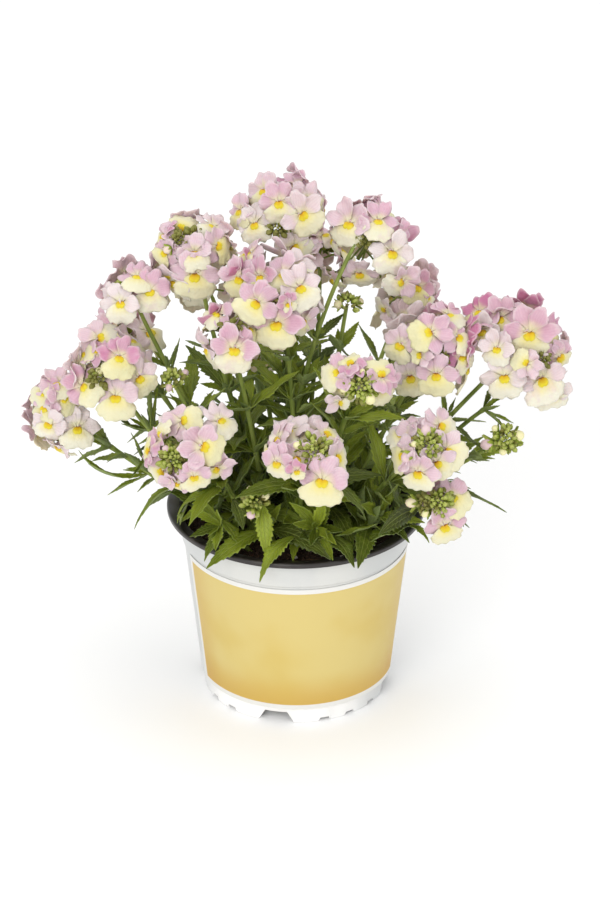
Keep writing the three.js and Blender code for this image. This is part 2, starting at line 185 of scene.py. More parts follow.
class Graph:
    def __init__(self, tree):
        self.tree = tree
        tree.nodes.clear()

    def node(self, kind, settings=None, inputs=None, output=0):
        node = self.tree.nodes.new(kind)
        for name, value in (settings or {}).items():
            if name == "stops":
                self.setStops(node.color_ramp, value)
            else:
                setattr(node, name, value)
        for key, value in (inputs or {}).items():
            if isinstance(value, Wire):
                self.tree.links.new(value.socket, node.inputs[key])
            else:
                node.inputs[key].default_value = value
        return Wire(self, node.outputs[output]) if node.outputs else node

    def setStops(self, ramp, stops):
        while len(ramp.elements) < len(stops):
            ramp.elements.new(0.5)
        for element, (place, colour) in zip(ramp.elements, stops):
            element.position = place
            element.color = colour

    def maths(self, operation, first, second=0.0):
        return self.node("ShaderNodeMath", {"operation": operation}, {0: first, 1: second})

    def ramp(self, factor, *stops):
        return self.node("ShaderNodeValToRGB", {"stops": stops}, {"Fac": factor})

    def blend(self, factor, first, second):
        return self.node("ShaderNodeMix", {"data_type": "RGBA"}, {0: factor, 6: first, 7: second}, 2)

    def between(self, value, low, high):  # a smooth step from 0 at low to 1 at high
        inputs = {"Value": value, "From Min": low, "From Max": high}
        return self.node("ShaderNodeMapRange", {"interpolation_type": "SMOOTHSTEP"}, inputs)

    def noise(self, scale, detail=2.0, stretch=None):
        place = self.node("ShaderNodeTexCoord", output="Object")
        if stretch:
            place = self.node("ShaderNodeMapping", None, {"Vector": place, "Scale": stretch})
        return self.node("ShaderNodeTexNoise", None, {"Vector": place, "Scale": scale, "Detail": detail})

    def split(self, vector):
        return [self.node("ShaderNodeSeparateXYZ", None, {0: vector}, axis) for axis in range(3)]

    def place(self):  # the three object coordinates, in metres
        return self.split(self.node("ShaderNodeTexCoord", output="Object"))

    def parts(self, name):  # the three numbers of a vector attribute
        return self.split(self.node("ShaderNodeAttribute", {"attribute_name": name}, None, "Vector"))

    def surface(self, colour, roughness, height, strength, distance):  # what varies over a surface
        inputs = {"Height": height, "Strength": strength, "Distance": distance}
        bump = self.node("ShaderNodeBump", None, inputs)
        return {"Base Color": colour, "Roughness": roughness, "Normal": bump}


def coat(weight, roughness):
    return {"Coat Weight": weight, "Coat Roughness": roughness}


def newMaterial(name, paint, fixed):
    # paint gives the sockets that vary over the surface, and fixed the ones that don't
    material = bpy.data.materials.new(name)
    material.use_nodes = True
    graph = Graph(material.node_tree)
    shader = graph.node("ShaderNodeBsdfPrincipled", None, {**fixed, **paint(graph)})
    graph.node("ShaderNodeOutputMaterial", None, {"Surface": shader})
    return material


# Geometry Nodes trees

def newTree(name, sockets):
    tree = bpy.data.node_groups.new(name, "GeometryNodeTree")
    entries = [("Geometry", "NodeSocketGeometry"), *sockets, ("Material", "NodeSocketMaterial")]
    for label, kind in entries:
        tree.interface.new_socket(label, in_out="INPUT", socket_type=kind)
    tree.interface.new_socket("Geometry", in_out="OUTPUT", socket_type="NodeSocketGeometry")
    graph = Graph(tree)
    entry = tree.nodes.new("NodeGroupInput")
    return tree, graph, {socket.name: Wire(graph, socket) for socket in entry.outputs if socket.name}


def endTree(graph, given, geometry):
    real = graph.node("GeometryNodeRealizeInstances", None, {"Geometry": geometry})
    painted = graph.node("GeometryNodeSetMaterial", None, {"Geometry": real, "Material": given["Material"]})
    graph.node("NodeGroupOutput", None, {"Geometry": painted})


def named(graph, name, kind="FLOAT"):
    return graph.node("GeometryNodeInputNamedAttribute", {"data_type": kind}, {"Name": name})


def chance(graph, kind, inputs, output=0):
    return graph.node("FunctionNodeRandomValue", {"data_type": kind}, inputs, output)


def copiesOn(graph, points, collection, index, turn, size):
    inputs = {"Collection": collection, "Separate Children": True}
    forms = graph.node("GeometryNodeCollectionInfo", None, inputs)
    inputs = {"Points": points, "Instance": forms, "Pick Instance": True, "Instance Index": index}
    return graph.node("GeometryNodeInstanceOnPoints", None, {**inputs, "Rotation": turn, "Scale": size})


def tubeTree():  # round tubes along chains of edges, as wide as the points' girth
    tree, graph, given = newTree("tubes along paths", [("Sides", "NodeSocketInt")])
    paths = graph.node("GeometryNodeMeshToCurve", None, {"Mesh": given["Geometry"]})
    inputs = {"Resolution": given["Sides"], "Radius": 1.0}
    ring = graph.node("GeometryNodeCurvePrimitiveCircle", None, inputs)
    inputs = {"Curve": paths, "Profile Curve": ring, "Scale": named(graph, "girth"), "Fill Caps": True}
    endTree(graph, given, graph.node("GeometryNodeCurveToMesh", None, inputs))
    return tree


def formTree():  # one of the forms at each point, as the point's form, turn and size say
    tree, graph, given = newTree("forms on points", [("Forms", "NodeSocketCollection")])
    points = graph.node("GeometryNodeMeshToPoints", None, {"Mesh": given["Geometry"]})
    form, turn = named(graph, "form", "INT"), named(graph, "turn", "FLOAT_VECTOR")
    copies = copiesOn(graph, points, given["Forms"], form, turn, named(graph, "size"))
    endTree(graph, given, copies)
    return tree


def scatterTree(forms):  # loose bits of so many forms, strewn over the faces that are marked as top
    numbers = [(label, "NodeSocketFloat") for label in ("Density", "Smallest", "Largest")]
    sockets = [("Bits", "NodeSocketCollection"), *numbers, ("Seed", "NodeSocketInt")]
    tree, graph, given = newTree("loose bits", sockets)
    inputs = {"Mesh": given["Geometry"], "Selection": named(graph, "top", "BOOLEAN")}
    inputs = {**inputs, "Density": given["Density"], "Seed": given["Seed"]}
    points = graph.node("GeometryNodeDistributePointsOnFaces", None, inputs)
    turn = chance(graph, "FLOAT_VECTOR", {1: (6.3, 6.3, 6.3)})
    size = chance(graph, "FLOAT", {2: given["Smallest"], 3: given["Largest"], "Seed": given["Seed"]}, 1)
    pick = chance(graph, "INT", {4: 0, 5: forms - 1}, 2)
    endTree(graph, given, copiesOn(graph, points, given["Bits"], pick, turn, size))
    return tree


def throughTree(name, source, tree, inputs):
    # The result of the tree on the source object, as a plain mesh object
    modifier = source.modifiers.new("nodes", "NODES")
    modifier.node_group = tree
    identifiers = {
        item.name: item.identifier
        for item in tree.interface.items_tree
        if item.item_type == "SOCKET" and item.in_out == "INPUT"
    }
    for label, value in inputs.items():
        modifier[identifiers[label]] = value
    graph = bpy.context.evaluated_depsgraph_get()
    graph.update()
    mesh = bpy.data.meshes.new_from_object(source.evaluated_get(graph))
    mesh.shade_smooth()
    bpy.data.meshes.remove(source.data)
    mesh.name = name
    piece = bpy.data.objects.new(name, mesh)
    bpy.context.scene.collection.objects.link(piece)
    return piece


# Meshes

def unit(vector):
    vector = np.asarray(vector, float)
    return vector / np.linalg.norm(vector)


def between(first, second, angle):  # the way at an angle from the first way towards the second
    return first * math.cos(angle) + second * math.sin(angle)


def smooth(value):
    value = np.clip(value, 0, 1)
    return value * value * (3 - 2 * value)


def newObject(name, points, faces=(), edges=(), attributes=None, material=None):
    # points in mm; attributes as name: (type, values at the points)
    mesh = bpy.data.meshes.new(name)
    mesh.from_pydata((np.asarray(points) * mm).tolist(), edges, faces)
    for label, (kind, values) in (attributes or {}).items():
        layer = mesh.attributes.new(label, kind, "POINT")
        field = "vector" if kind == "FLOAT_VECTOR" else "value"
        layer.data.foreach_set(field, np.asarray(values).ravel())
    mesh.shade_smooth()
    if material:
        mesh.materials.append(material)
    thing = bpy.data.objects.new(name, mesh)
    bpy.context.scene.collection.objects.link(thing)
    return thing


def gridFaces(rows, columns, wrap=False):
    across = columns if wrap else columns - 1
    i, j = np.meshgrid(np.arange(rows - 1), np.arange(across), indexing="ij")
    following = (j + 1) % columns
    low, high = i * columns, (i + 1) * columns
    return np.stack([low + j, low + following, high + following, high + j], -1).reshape(-1, 4)


def capFaces(rows, columns):  # from a closed form's first and last rings to its two poles, its last points
    ring = [(k, (k + 1) % columns) for k in range(columns)]
    pole, last = rows * columns, (rows - 1) * columns
    return [(pole, b, a) for a, b in ring] + [(pole + 1, last + a, last + b) for a, b in ring]


def gridNormals(grid):
    normals = np.zeros_like(grid)
    square = np.cross(grid[1:, 1:] - grid[:-1, :-1], grid[1:, :-1] - grid[:-1, 1:])
    for part in (normals[1:, 1:], normals[:-1, :-1], normals[1:, :-1], normals[:-1, 1:]):
        part += square
    length = np.linalg.norm(normals, axis=2, keepdims=True)
    return normals / np.maximum(length, 1e-12)


class SheetMesh:  # thin closed sheets in one mesh, with what their materials read
    def __init__(self):
        self.points = []
        self.faces = []
        self.spots = []
        self.marks = []
        self.count = 0

    def addSheet(self, grid, thick, across, along, mark):
        # grid is rows by columns of points; the spot is across, along and 1 on the underside
        rows, columns = grid.shape[:2]
        size = rows * columns
        offset = gridNormals(grid) * np.reshape(thick, (-1, 1, 1)) / 2
        top = gridFaces(rows, columns)
        index = np.arange(size).reshape(rows, columns)
        loop = np.concatenate([index[0, :-1], index[:-1, -1], index[-1, :0:-1], index[:0:-1, 0]])
        following = np.roll(loop, -1)
        rim = np.stack([following, loop, loop + size, following + size], -1)
        for layer, under in ((grid + offset, 0), (grid - offset, 1)):
            self.points.append(layer.reshape(-1, 3))
            spot = [np.broadcast_to(value, (rows, columns)).ravel() for value in (across, along, under)]
            self.spots.append(np.stack(spot, -1))
            self.marks.append(np.tile(mark, (size, 1)))
        for faces in (top, top[:, ::-1] + size, rim):
            self.faces.append(faces + self.count)
        self.count += 2 * size

    def addTube(self, rings, mark):
        # rings of points round a closed tube, from a narrow end to a narrow end
        rows, columns = rings.shape[:2]
        self.points.append(rings.reshape(-1, 3))
        along = np.repeat(np.linspace(0, 1, rows), columns)
        self.spots.append(np.stack([np.tile(np.linspace(-1, 1, columns), rows), along, along * 0], -1))
        self.marks.append(np.tile(mark, (rows * columns, 1)))
        self.faces.append(gridFaces(rows, columns, True) + self.count)
        first = np.arange(columns)
        for ring in (first[::-1], first + (rows - 1) * columns):
            fan = [(ring[0], ring[k], ring[k + 1], ring[k + 1]) for k in range(1, columns - 1)]
            self.faces.append(np.array(fan) + self.count)
        self.count += rows * columns

    def build(self, name, material=None):
        faces = [list(dict.fromkeys(face)) for face in np.concatenate(self.faces).tolist()]
        attributes = {
            "spot": ("FLOAT_VECTOR", np.concatenate(self.spots)),
            "mark": ("FLOAT_VECTOR", np.concatenate(self.marks)),
        }
        return newObject(name, np.concatenate(self.points), faces, (), attributes, material)


def joined(name, things):  # one object of them all
    things[0].name = name
    things[0].data.name = name
    if len(things) > 1:
        with bpy.context.temp_override(active_object=things[0], selected_editable_objects=things):
            bpy.ops.object.join()
    return things[0]


def declare(piece, slot, *nodes):  # attaches the piece to the root body and hides the nodes it stands for
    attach(piece, "root")
    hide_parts(*nodes)


# The plant's numbers, as in the part, in mm and degrees

heads = [  # name, middle, way of the tip, root, flowers, reach, angles from the tip, turn and size
    ("01", (-116, -5, 155), (-0.65, -0.25, 0.72), (-38, -2), 9, 17, (30, 120), 20, 0.95),
    ("02", (-90, -15, 181), (-0.3, -0.3, 0.9), (-31, -9), 10, 17.5, (30, 120), 75, 0.98),
    ("03", (-80, 5, 214), (-0.35, 0, 0.93), (-24, 3), 6, 13.5, (30, 115), 140, 1),
    ("04", (-49, 10, 234), (-0.15, 0, 0.98), (-17, 5), 9, 17, (30, 120), 10, 1),
    ("05", (-5, 25, 249), (0, 0.05, 1), (-3, 12), 10, 18, (28, 120), 95, 1),
    ("06", (-10, -15, 224), (-0.2, -0.35, 0.9), (1, -3), 11, 20, (28, 120), 50, 1.04),
    ("07", (-32, -27, 206), (-0.15, -0.55, 0.82), (-13, -9), 5, 12, (45, 110), 160, 1),
    ("08", (36, 20, 237), (0.5, 0.1, 0.85), (-4, 5), 10, 18, (30, 120), 30, 1),
    ("09", (56, 35, 202), (0.4, 0.3, 0.86), (18, 14), 5, 12, (32, 115), 100, 0.95),
    ("10", (66, -10, 193), (0.35, -0.3, 0.88), (20, -3), 10, 19, (30, 120), 65, 1.02),
    ("11", (109, 0, 187), (0.62, -0.15, 0.77), (32, 2), 11, 22, (28, 115), 15, 1.06),
    ("12", (29.5, -42, 190), (0.05, -0.85, 0.55), (9, -12), 5, 14, (62, 100), 0, 0.9),
    ("13", (-50, -55, 161), (-0.2, -0.85, 0.5), (-18, -17), 8, 18, (60, 105), 30, 1),
    ("14", (4.5, -65, 159), (0, -0.88, 0.48), (0, -20), 7, 16, (62, 105), 85, 1),
    ("15", (62, -50, 155), (0.2, -0.85, 0.5), (19, -15), 6, 15, (60, 105), 40, 0.95),
    ("16", (70, -50, 125), (0.35, -0.85, 0.3), (30, -19), 4, 12, (58, 100), 120, 0.9),
    ("17", (103, -20, 148), (0.7, -0.3, 0.6), (34, -8), 2, 8, (60, 100), 0, 0.6),
    ("18", (-45, 58, 195), (-0.4, 0.6, 0.8), (-12, 16), 5, 15, (35, 110), 35, 1),
    ("19", (12, 66, 203), (0, 0.6, 0.8), (3, 22), 5, 15, (35, 110), 10, 1),
    ("20", (58, 60, 172), (0.4, 0.6, 0.7), (18, 26), 5, 15, (35, 110), 60, 1),
    ("21", (-85, 45, 166), (-0.6, 0.4, 0.7), (-30, 12), 5, 15, (35, 110), 110, 1),
    ("22", (-18, 67, 158), (-0.1, 0.85, 0.5), (-8, 27), 5, 15, (50, 110), 0, 1),
]
shoots = [  # name, tip, way of the tip, root, whether it ends in buds, and turn
    ("23", (-20, -50, 128), (-0.2, -0.7, 0.6), (-9, -28), True, 20),
    ("24", (-60, -12, 175), (-0.3, -0.2, 0.9), (-22, -6), True, 60),
    ("25", (25, 12, 205), (0.15, 0, 1), (9, 4), True, 40),
    ("26", (-64, -28, 150), (-0.4, -0.3, 0.8), (-29, -20), True, 0),
    ("27", (10, -46, 112), (0, -0.8, 0.5), (9, -30), False, 30),
    ("28", (42, -36, 114), (0.5, -0.6, 0.5), (27, -31), False, 0),
    ("29", (95, 0, 155), (0.75, -0.1, 0.6), (41, 8), False, 30),
    ("30", (-38, -44, 112), (-0.5, -0.7, 0.5), (-22, -29), False, 20),
]
growth = {
    "soilEdge": 88.5,
    "depth": 13,
    "upward": 0.25,
    "firstPull": 0.42,
    "secondPull": 0.28,
    "intoHead": 0.5,
    "pairs": [(46, 25, 0.8), (42, 35, 0.6), (34, 40, 0.4), (22, 45, 0.2)],
    "youngPair": (21, 35, 0.6),
    "youngPlace": 0.97,
    "internode": (30, 24, 0.78),
    "plantTurn": 77,
    "slimness": 0.15,
    "baseWidth": 1.2,
    "smallUnder": 22,
    "largeEdge": [(0, 0.05), (0.32, 1), (0.41, 0.76), (0.58, 0.9)],
    "smallEdge": [(0, 0.1), (0.42, 1), (0.5, 0.72)],
    "flowerHalf": [
        (0, 5.8, -0.2), (1.4, 9.4, -1.2), (5.2, 8.4, -1), (5.3, 4.9, 0),
        (9.2, 2.8, -0.2), (4.8, -0.4, 0.4), (9, -4.6, 0.6), (5.2, -10.2, 0.2),
    ],
    "sideTilt": 12,
    "facingTilt": 26,
    "facingFrom": 50,
    "outwardFrom": 55,
    "neckHigh": 0.4,
    "neckLow": 0.1,
    "tolerance": 0.12,  # mm, of a point on its solid
}


def makePlant(index, name, at, tip, root, flowers=0, reach=0, band=(0, 0), turn=0, size=1, buds=None):
    plant = {
        "name": name,
        "at": np.array(at, float),
        "root": root,
        "flowers": flowers,
        "reach": reach,
        "band": np.radians(band),
        "turn": math.radians(turn),
        "size": size,
        "buds": buds,
        "facing": band[0] >= growth["outwardFrom"],
        "tilt": math.radians(growth["sideTilt" if band[0] < growth["facingFrom"] else "facingTilt"]),
        "first": math.radians(index * growth["plantTurn"] if flowers else turn),
        "axis": unit(tip),
    }
    plant["across"] = unit(np.cross(plant["axis"], (0, 1, 0)))
    plant["over"] = np.cross(plant["axis"], plant["across"])
    plant["curve"] = stemCurve(plant)
    return plant


def stemCurve(plant):
    start = np.array((*plant["root"], growth["soilEdge"]), float)
    end = plant["at"] - plant["axis"] * plant["reach"] * growth["intoHead"]
    chord = end - start
    length = np.linalg.norm(chord)
    rise = unit(chord + np.array((0, 0, 1)) * growth["upward"] * length)
    start = start - rise * growth["depth"]
    first = start + rise * growth["firstPull"] * length
    second = end - plant["axis"] * growth["secondPull"] * length
    return np.array([start, first, second, end])


def curvePoint(curve, t):
    weights = {
        3: ((1 - t) ** 2, 2 * t * (1 - t), t * t),
        4: ((1 - t) ** 3, 3 * t * (1 - t) ** 2, 3 * t * t * (1 - t), t ** 3),
    }[len(curve)]
    return sum(np.multiply.outer(weight, point) for weight, point in zip(weights, curve))


def curveWay(curve, t):
    way = (len(curve) - 1) * np.diff(curve, axis=0)
    if len(way) == 3:
        way = curvePoint(way, t)
    else:
        way = np.multiply.outer(1 - t, way[0]) + np.multiply.outer(t, way[1])
    return way / np.linalg.norm(way, axis=-1, keepdims=True)


def curveLength(curve):
    points = curvePoint(curve, np.linspace(0, 1, 201))
    return np.linalg.norm(np.diff(points, axis=0), axis=1).sum()


def stemFrame(plant, t):  # the point, the way along and two ways across
    along = curveWay(plant["curve"], t)
    x, y = plant["at"][:2] - plant["root"]
    level = unit((-y, x, 0))
    across = unit(level - along * level.dot(along))
    return curvePoint(plant["curve"], t), along, across, np.cross(along, across)


def leafCurve(stand, turn, lift, droop, length):  # with the way across the leaf
    at, along, across, over = stand
    side = between(across, over, turn)
    out = between(side, along, lift)
    sink = unit(out - np.array((0, 0, 1)) * droop)
    middle = at + out * length / 2
    return np.array([at, middle, middle + sink * length / 2]), unit(np.cross(along, side))


def leafOutline(stand, turn, lift, droop, length):  # the points of its solid
    curve, wide = leafCurve(stand, turn, lift, droop, length)
    edge = growth["smallEdge"] if length < growth["smallUnder"] else growth["largeEdge"]
    half = growth["slimness"] * length + growth["baseWidth"]
    sides = [(t, hand, share) for t, share in edge[1:] for hand in (1, -1)]
    return [*[curvePoint(curve, t) + wide * hand * share * half for t, hand, share in sides], curve[2]]


def facingWays(plant, radial, angle):  # right, high and face of a flower at this angle from the head's axis
    face = between(plant["axis"], radial, angle)
    high = -between(plant["axis"], radial, angle + math.pi / 2)
    return np.array([np.cross(high, face), high, face])


def neckRoot(plant, fromTip):
    rise = plant["reach"] * (growth["neckHigh"] * math.cos(fromTip) - growth["neckLow"])
    return plant["at"] + plant["axis"] * rise


def flowerPlace(plant, index, option):
    scale, push, lean, turn = option
    first, last = np.cos(plant["band"])
    fromTip = math.acos(first + (last - first) * (index + 0.5) / plant["flowers"])
    turn = plant["turn"] + math.radians(turn) + index * goldenAngle
    radial = between(plant["across"], plant["over"], turn)
    return {
        "at": plant["at"] + between(plant["axis"], radial, fromTip) * (plant["reach"] + push),
        "ways": facingWays(plant, radial, fromTip - plant["tilt"] - math.radians(lean)),
        "size": plant["size"] * scale,
        "root": neckRoot(plant, fromTip),
    }


def flowerOutline(place):
    half = np.array(growth["flowerHalf"])
    outline = np.concatenate([half, half[1:] * (-1, 1, 1)])
    return place["at"] + outline @ place["ways"] * place["size"]


def combine(*lists):
    sets = [()]
    for values in lists:
        sets = [(*chosen, value) for chosen in sets for value in values]
    return sets


flowerOptions = combine((1, 0.93, 0.86), (0, 1.5, 3, -1.5), (0, -10, 10), (0, 8, -8, 16, -16))
leafOptions = combine((1, 0.85, 0.7, 0.55), (0, 25, -25, 50, -50), (0, 15, -15))


def solidPoints(node):
    vertices = frame["nodes"][node].data.vertices
    tree = KDTree(len(vertices))
    for index, vertex in enumerate(vertices):
        tree.insert(vertex.co, index)
    tree.balance()
    return tree


def bestFit(solid, options, outlineOf):
    # The option whose outline has the most points on the solid
    best, most = None, 0
    for option in options:
        points = [point * mm for point in outlineOf(option)]
        found = sum(solid.find(point)[2] < growth["tolerance"] * mm for point in points)
        if found > most:
            best, most = option, found
        if found == len(points):
            break
    return best, most


def findFlowers(plant):
    solid = solidPoints("head_" + plant["name"])
    found = []
    for index in range(plant["flowers"]):

        def outlineOf(option):
            return flowerOutline(flowerPlace(plant, index, option))

        option, most = bestFit(solid, flowerOptions, outlineOf)
        if most >= 4:
            found.append({**flowerPlace(plant, index, option), "index": index})
    return found


def findLeaves(plant):
    solid = solidPoints(("stem_" if plant["flowers"] else "shoot_") + plant["name"])
    length = curveLength(plant["curve"])
    first, step, last = growth["internode"]
    pairs = [((first + step * index) / length, pair) for index, pair in enumerate(growth["pairs"])]
    pairs = [pair for pair in pairs if pair[0] < last]
    if plant["buds"] is False:
        pairs.append((growth["youngPlace"], growth["youngPair"]))
    found = []
    for index, (place, (size, rise, droop)) in enumerate(pairs):
        stand = stemFrame(plant, place)
        for hand in (0, 1):
            quarter = plant["first"] + (index + 2 * hand) * math.pi / 2

            def shape(option):
                scale, turn, lift = option
                return stand, quarter + math.radians(turn), math.radians(rise + lift), droop, size * scale

            option, most = bestFit(solid, leafOptions, lambda item: leafOutline(*shape(item)))
            leaf = shape(option) if most >= 3 else None
            found.append({"place": place, "stand": stand, "quarter": quarter, "leaf": leaf, "pair": index})
    return found


plants = [makePlant(index, *row) for index, row in enumerate(heads)]
plants += [
    makePlant(len(heads) + index, name, at, tip, root, turn=turn, buds=buds)
    for index, (name, at, tip, root, buds, turn) in enumerate(shoots)
]
for plant in plants:
    plant["leaves"] = findLeaves(plant)
    plant["places"] = findFlowers(plant) if plant["flowers"] else []
print("leaves found:", sum(leaf["leaf"] is not None for plant in plants for leaf in plant["leaves"]))
print("flowers found:", sum(len(plant["places"]) for plant in plants), "of", sum(row[4] for row in heads))

setUpStudio(studio)
tubes, forms = tubeTree(), formTree()

# The pot: white outside, black inside and over the rim

potLook = {
    "columns": 240,
    "profile": [  # radius, height and the softness of the corner, from under the floor outwards, mm
        (43.5, 6.2, 0.3), (44.2, 0, 0.5), (46.8, 0, 0.7), (47.4, 7.8, 0.25), (48.353, 8.6, 0.2),
        (56.707, 84, 0.2), (57.707, 85, 0.4), (58.8, 96, 0.5), (59.6, 98.3, 0.5), (64.1, 99.4, 0.4),
        (65, 99.4, 0.3), (65, 101.3, 0.4), (64.2, 102, 0.5), (59, 100.9, 0.6), (57.4, 98.5, 0.8),
        (46.2, 7.8, 1.5),
    ],
    "blackFrom": 8,  # the corner of the profile where black begins
    "floorTop": 7.8,
    "floorUnder": 6.2,
    "cuts": [  # in the foot: turns in degrees, half widths at the foot and above, and height
        ((-12.5, 77.5, 167.5, 257.5), 9.2, 5.7, 6),
        ((-61, -44, 18, 35.5, 54, 104, 122, 139, 196, 214, 231), 3.1, 2.2, 1.7),
    ],
    **colours(
        # the foot's white is painted light, brighter than the rest of the wall
        white=(207, 207, 203), footWhite=(249, 248, 246), shade=(190, 193, 194), black=(36, 31, 29),
        dustyBlack=(64, 56, 50),
    ),
}


def softened(profile, steps=4):
    # Each corner becomes a few points on a curve, as far from it as its softness
    points, owners = [], []
    for index, (x, y, soft) in enumerate(profile):
        corner = np.array((x, y), float)
        if index in (0, len(profile) - 1):
            points.append(corner)
            owners.append(index)
            continue
        before = np.array(profile[index - 1][:2]) - corner
        after = np.array(profile[index + 1][:2]) - corner
        pulls = [unit(side) * min(soft, np.linalg.norm(side) * 0.45) for side in (before, after)]
        bend = np.array([corner + pulls[0], corner, corner + pulls[1]])
        for t in np.linspace(0, 1, steps):
            points.append(curvePoint(bend, t))
            owners.append(index)
    return np.array(points), owners


def footCut(look):
    # How high the foot is cut away, as angles and heights round the pot
    radius = look["profile"][2][0]
    knots = []
    for turns, foot, top, height in look["cuts"]:
        for turn in np.radians(turns):
            corners = ((-foot, 0), (-top, height), (top, height), (foot, 0))
            knots += [(turn + side / radius, rise) for side, rise in corners]
    knots = sorted((turn % (2 * math.pi), height) for turn, height in knots)
    return np.array(knots).T


def makePot(look, white, black):
    turns, heights = footCut(look)
    even = np.arange(look["columns"]) * 2 * math.pi / look["columns"]
    columns = np.sort(np.concatenate([even, turns]))
    cut = np.interp(columns, turns, heights, period=2 * math.pi)
    profile, owners = softened(look["profile"])
    outside = [owner >= 2 for owner in owners]
    points = []
    for (radius, height), outer in zip(profile, outside):
        limit = look["floorTop"] if outer else look["floorUnder"]
        lifted = np.where(height < limit, cut + height * (limit - cut) / limit, height)
        points.append(np.stack([radius * np.sin(columns), -radius * np.cos(columns), lifted], -1))
    rows, count = len(points), len(columns)
    faces = gridFaces(rows, count, True).tolist() + capFaces(rows, count)
    split = owners.index(look["blackFrom"]) * count
    poles = np.array([(0, 0, look["floorUnder"]), (0, 0, look["floorTop"])])
    under = rows * count
    piece = newObject("pot_shell", np.concatenate([*points, poles]), faces, material=white)
    piece.data.materials.append(black)
    for face in piece.data.polygons:
        face.material_index = int(min(face.vertices) >= split and under not in face.vertices)
    piece.data.set_sharp_from_angle(angle=math.radians(50))
    declare(piece, "pot", "pot")


def paintWhitePot(graph):
    look = potLook
    cloud = graph.noise(35, 3)
    fine = graph.noise(900, 2)
    x, _, height = graph.place()
    streaks = graph.noise(60, 3, (1, 1, 0.08))
    # painted light: the wall is painted brighter at the foot, fading into the plain white by 30 mm up
    colour = graph.blend(graph.between(height, 0.006, 0.03), look["footWhite"], look["white"])
    # painted reflections: faint grey patches and soft vertical streaks in the shade colour
    colour = graph.blend(graph.between(cloud + streaks, 0.9, 1.35) * 0.35, colour, look["shade"])
    # painted shade towards the right and left sides of the wall, where it turns away from the light
    sides = graph.between(x, 0.02, 0.045) * 0.7 + graph.between(x, -0.035, -0.05) * 0.6
    colour = graph.blend(sides, colour, look["shade"])
    return graph.surface(colour, 0.28 + graph.noise(120, 3) * 0.16, fine + cloud * 2, 0.12, 0.0002)


def paintBlackPot(graph):
    look = potLook
    dust = graph.between(graph.noise(60, 5), 0.5, 0.75)
    colour = graph.blend(dust, look["black"], look["dustyBlack"])
    return graph.surface(colour, 0.3 + dust * 0.3, graph.noise(1400, 2), 0.15, 0.0002)


whitePlastic = newMaterial("white pot plastic", paintWhitePot, coat(0.15, 0.25))
blackPlastic = newMaterial("black pot plastic", paintBlackPot, coat(0.1, 0.3))
makePot(potLook, whitePlastic, blackPlastic)
print("pot made")

# The label: a plain yellow paper band with a white border

labelLook = {
    "low": 9.2,  # mm
    "high": 82.8,
    "left": -69,  # degrees from the front
    "right": 80,
    "radius": 47.75,  # at the ground
    "taper": 0.1108,
    "thick": 0.3,
    "border": 2.6,
    "meanRadius": 53,
    **colours(
        middle=(203, 178, 95), pale=(208, 188, 116), deep=(197, 157, 64), paper=(222, 221, 217),
    ),
}


def makeLabel(look, material):
    sheet = SheetMesh()
    rows, columns = 26, 90
    along, across = np.meshgrid(np.linspace(0, 1, rows), np.linspace(0, 1, columns), indexing="ij")
    height = look["low"] + (look["high"] - look["low"]) * along
    turn = np.radians(look["left"] + (look["right"] - look["left"]) * across)
    ripple = 0.06 * np.sin(7 * turn + 4 * along) * np.sin(math.pi * along)
    radius = look["radius"] + look["taper"] * height + ripple
    grid = np.stack([radius * np.sin(turn), -radius * np.cos(turn), height], -1)
    sheet.addSheet(grid, look["thick"], across, along, (0, 0, 0))
    piece = sheet.build("label_sheet", material)
    piece.data.set_sharp_from_angle(angle=math.radians(50))
    declare(piece, "label", "label")


def paintLabel(graph):
    look = labelLook
    across, along, _ = graph.parts("spot")
    wide = math.radians(look["right"] - look["left"]) * look["meanRadius"]
    high = look["high"] - look["low"]
    fromSide = graph.maths("MINIMUM", across, 1 - across) * wide
    fromEnd = graph.maths("MINIMUM", along, 1 - along) * high
    edge = graph.maths("MINIMUM", fromSide, fromEnd)
    cloud = graph.noise(26, 2)
    colour = graph.blend(graph.between(cloud + along * 0.25, 0.4, 0.75), look["middle"], look["pale"])
    # deeper gold towards the bottom and the top edge, and painted shade at the left and right edges where
    # the band turns from the light
    deepness = graph.between(along, 0.32, 0.02) * 0.75 + graph.between(across, 0.16, 0.02) * 0.5
    deepness = deepness + graph.between(across, 0.84, 0.98) * 0.35 + graph.between(along, 0.93, 1) * 0.2
    colour = graph.blend(deepness * (0.6 + cloud * 0.8), colour, look["deep"])
    inside = graph.between(edge, look["border"] - 0.12, look["border"] + 0.12)
    colour = graph.blend(inside, look["paper"], colour)
    return graph.surface(colour, 0.42 + graph.noise(300, 3) * 0.12, graph.noise(1800, 3), 0.08, 0.0002)


labelPaper = newMaterial("label paper", paintLabel, coat(0.1, 0.35))
makeLabel(labelLook, labelPaper)
print("label made")

# The stake

stakeLook = {
    "x": 39, "y": 12, "width": 4.5, "thick": 2, "top": 137, "bottom": 30, "point": 9,  # mm
    "corner": 1.1, "edge": 0.35,
    **colours(
        dark=(34, 32, 42), worn=(66, 62, 72),
    ),
}


def makeStake(look, material):
    half, corner = look["width"] / 2, look["corner"]
    outline = [(0, look["bottom"]), (half, look["bottom"] + look["point"])]
    x, z = half - corner, look["top"] - corner
    for turn in np.linspace(0, math.pi / 2, 5):
        outline.append((x + corner * math.cos(turn), z + corner * math.sin(turn)))
    outline += [(-x, z) for x, z in outline[:0:-1]]
    count = len(outline)
    front = [(look["x"] + x, look["y"] - look["thick"] / 2, z) for x, z in outline]
    back = [(x, y + look["thick"], z) for x, y, z in front]
    faces = [list(range(count)), list(range(2 * count - 1, count - 1, -1))]
    faces += [[(k + 1) % count, k, k + count, (k + 1) % count + count] for k in range(count)]
    piece = newObject("plant_stake", front + back, faces, material=material)
    soft = piece.modifiers.new("soft edges", "BEVEL")
    soft.width = look["edge"] * mm
    soft.segments = 2
    declare(piece, "stake", "stake")


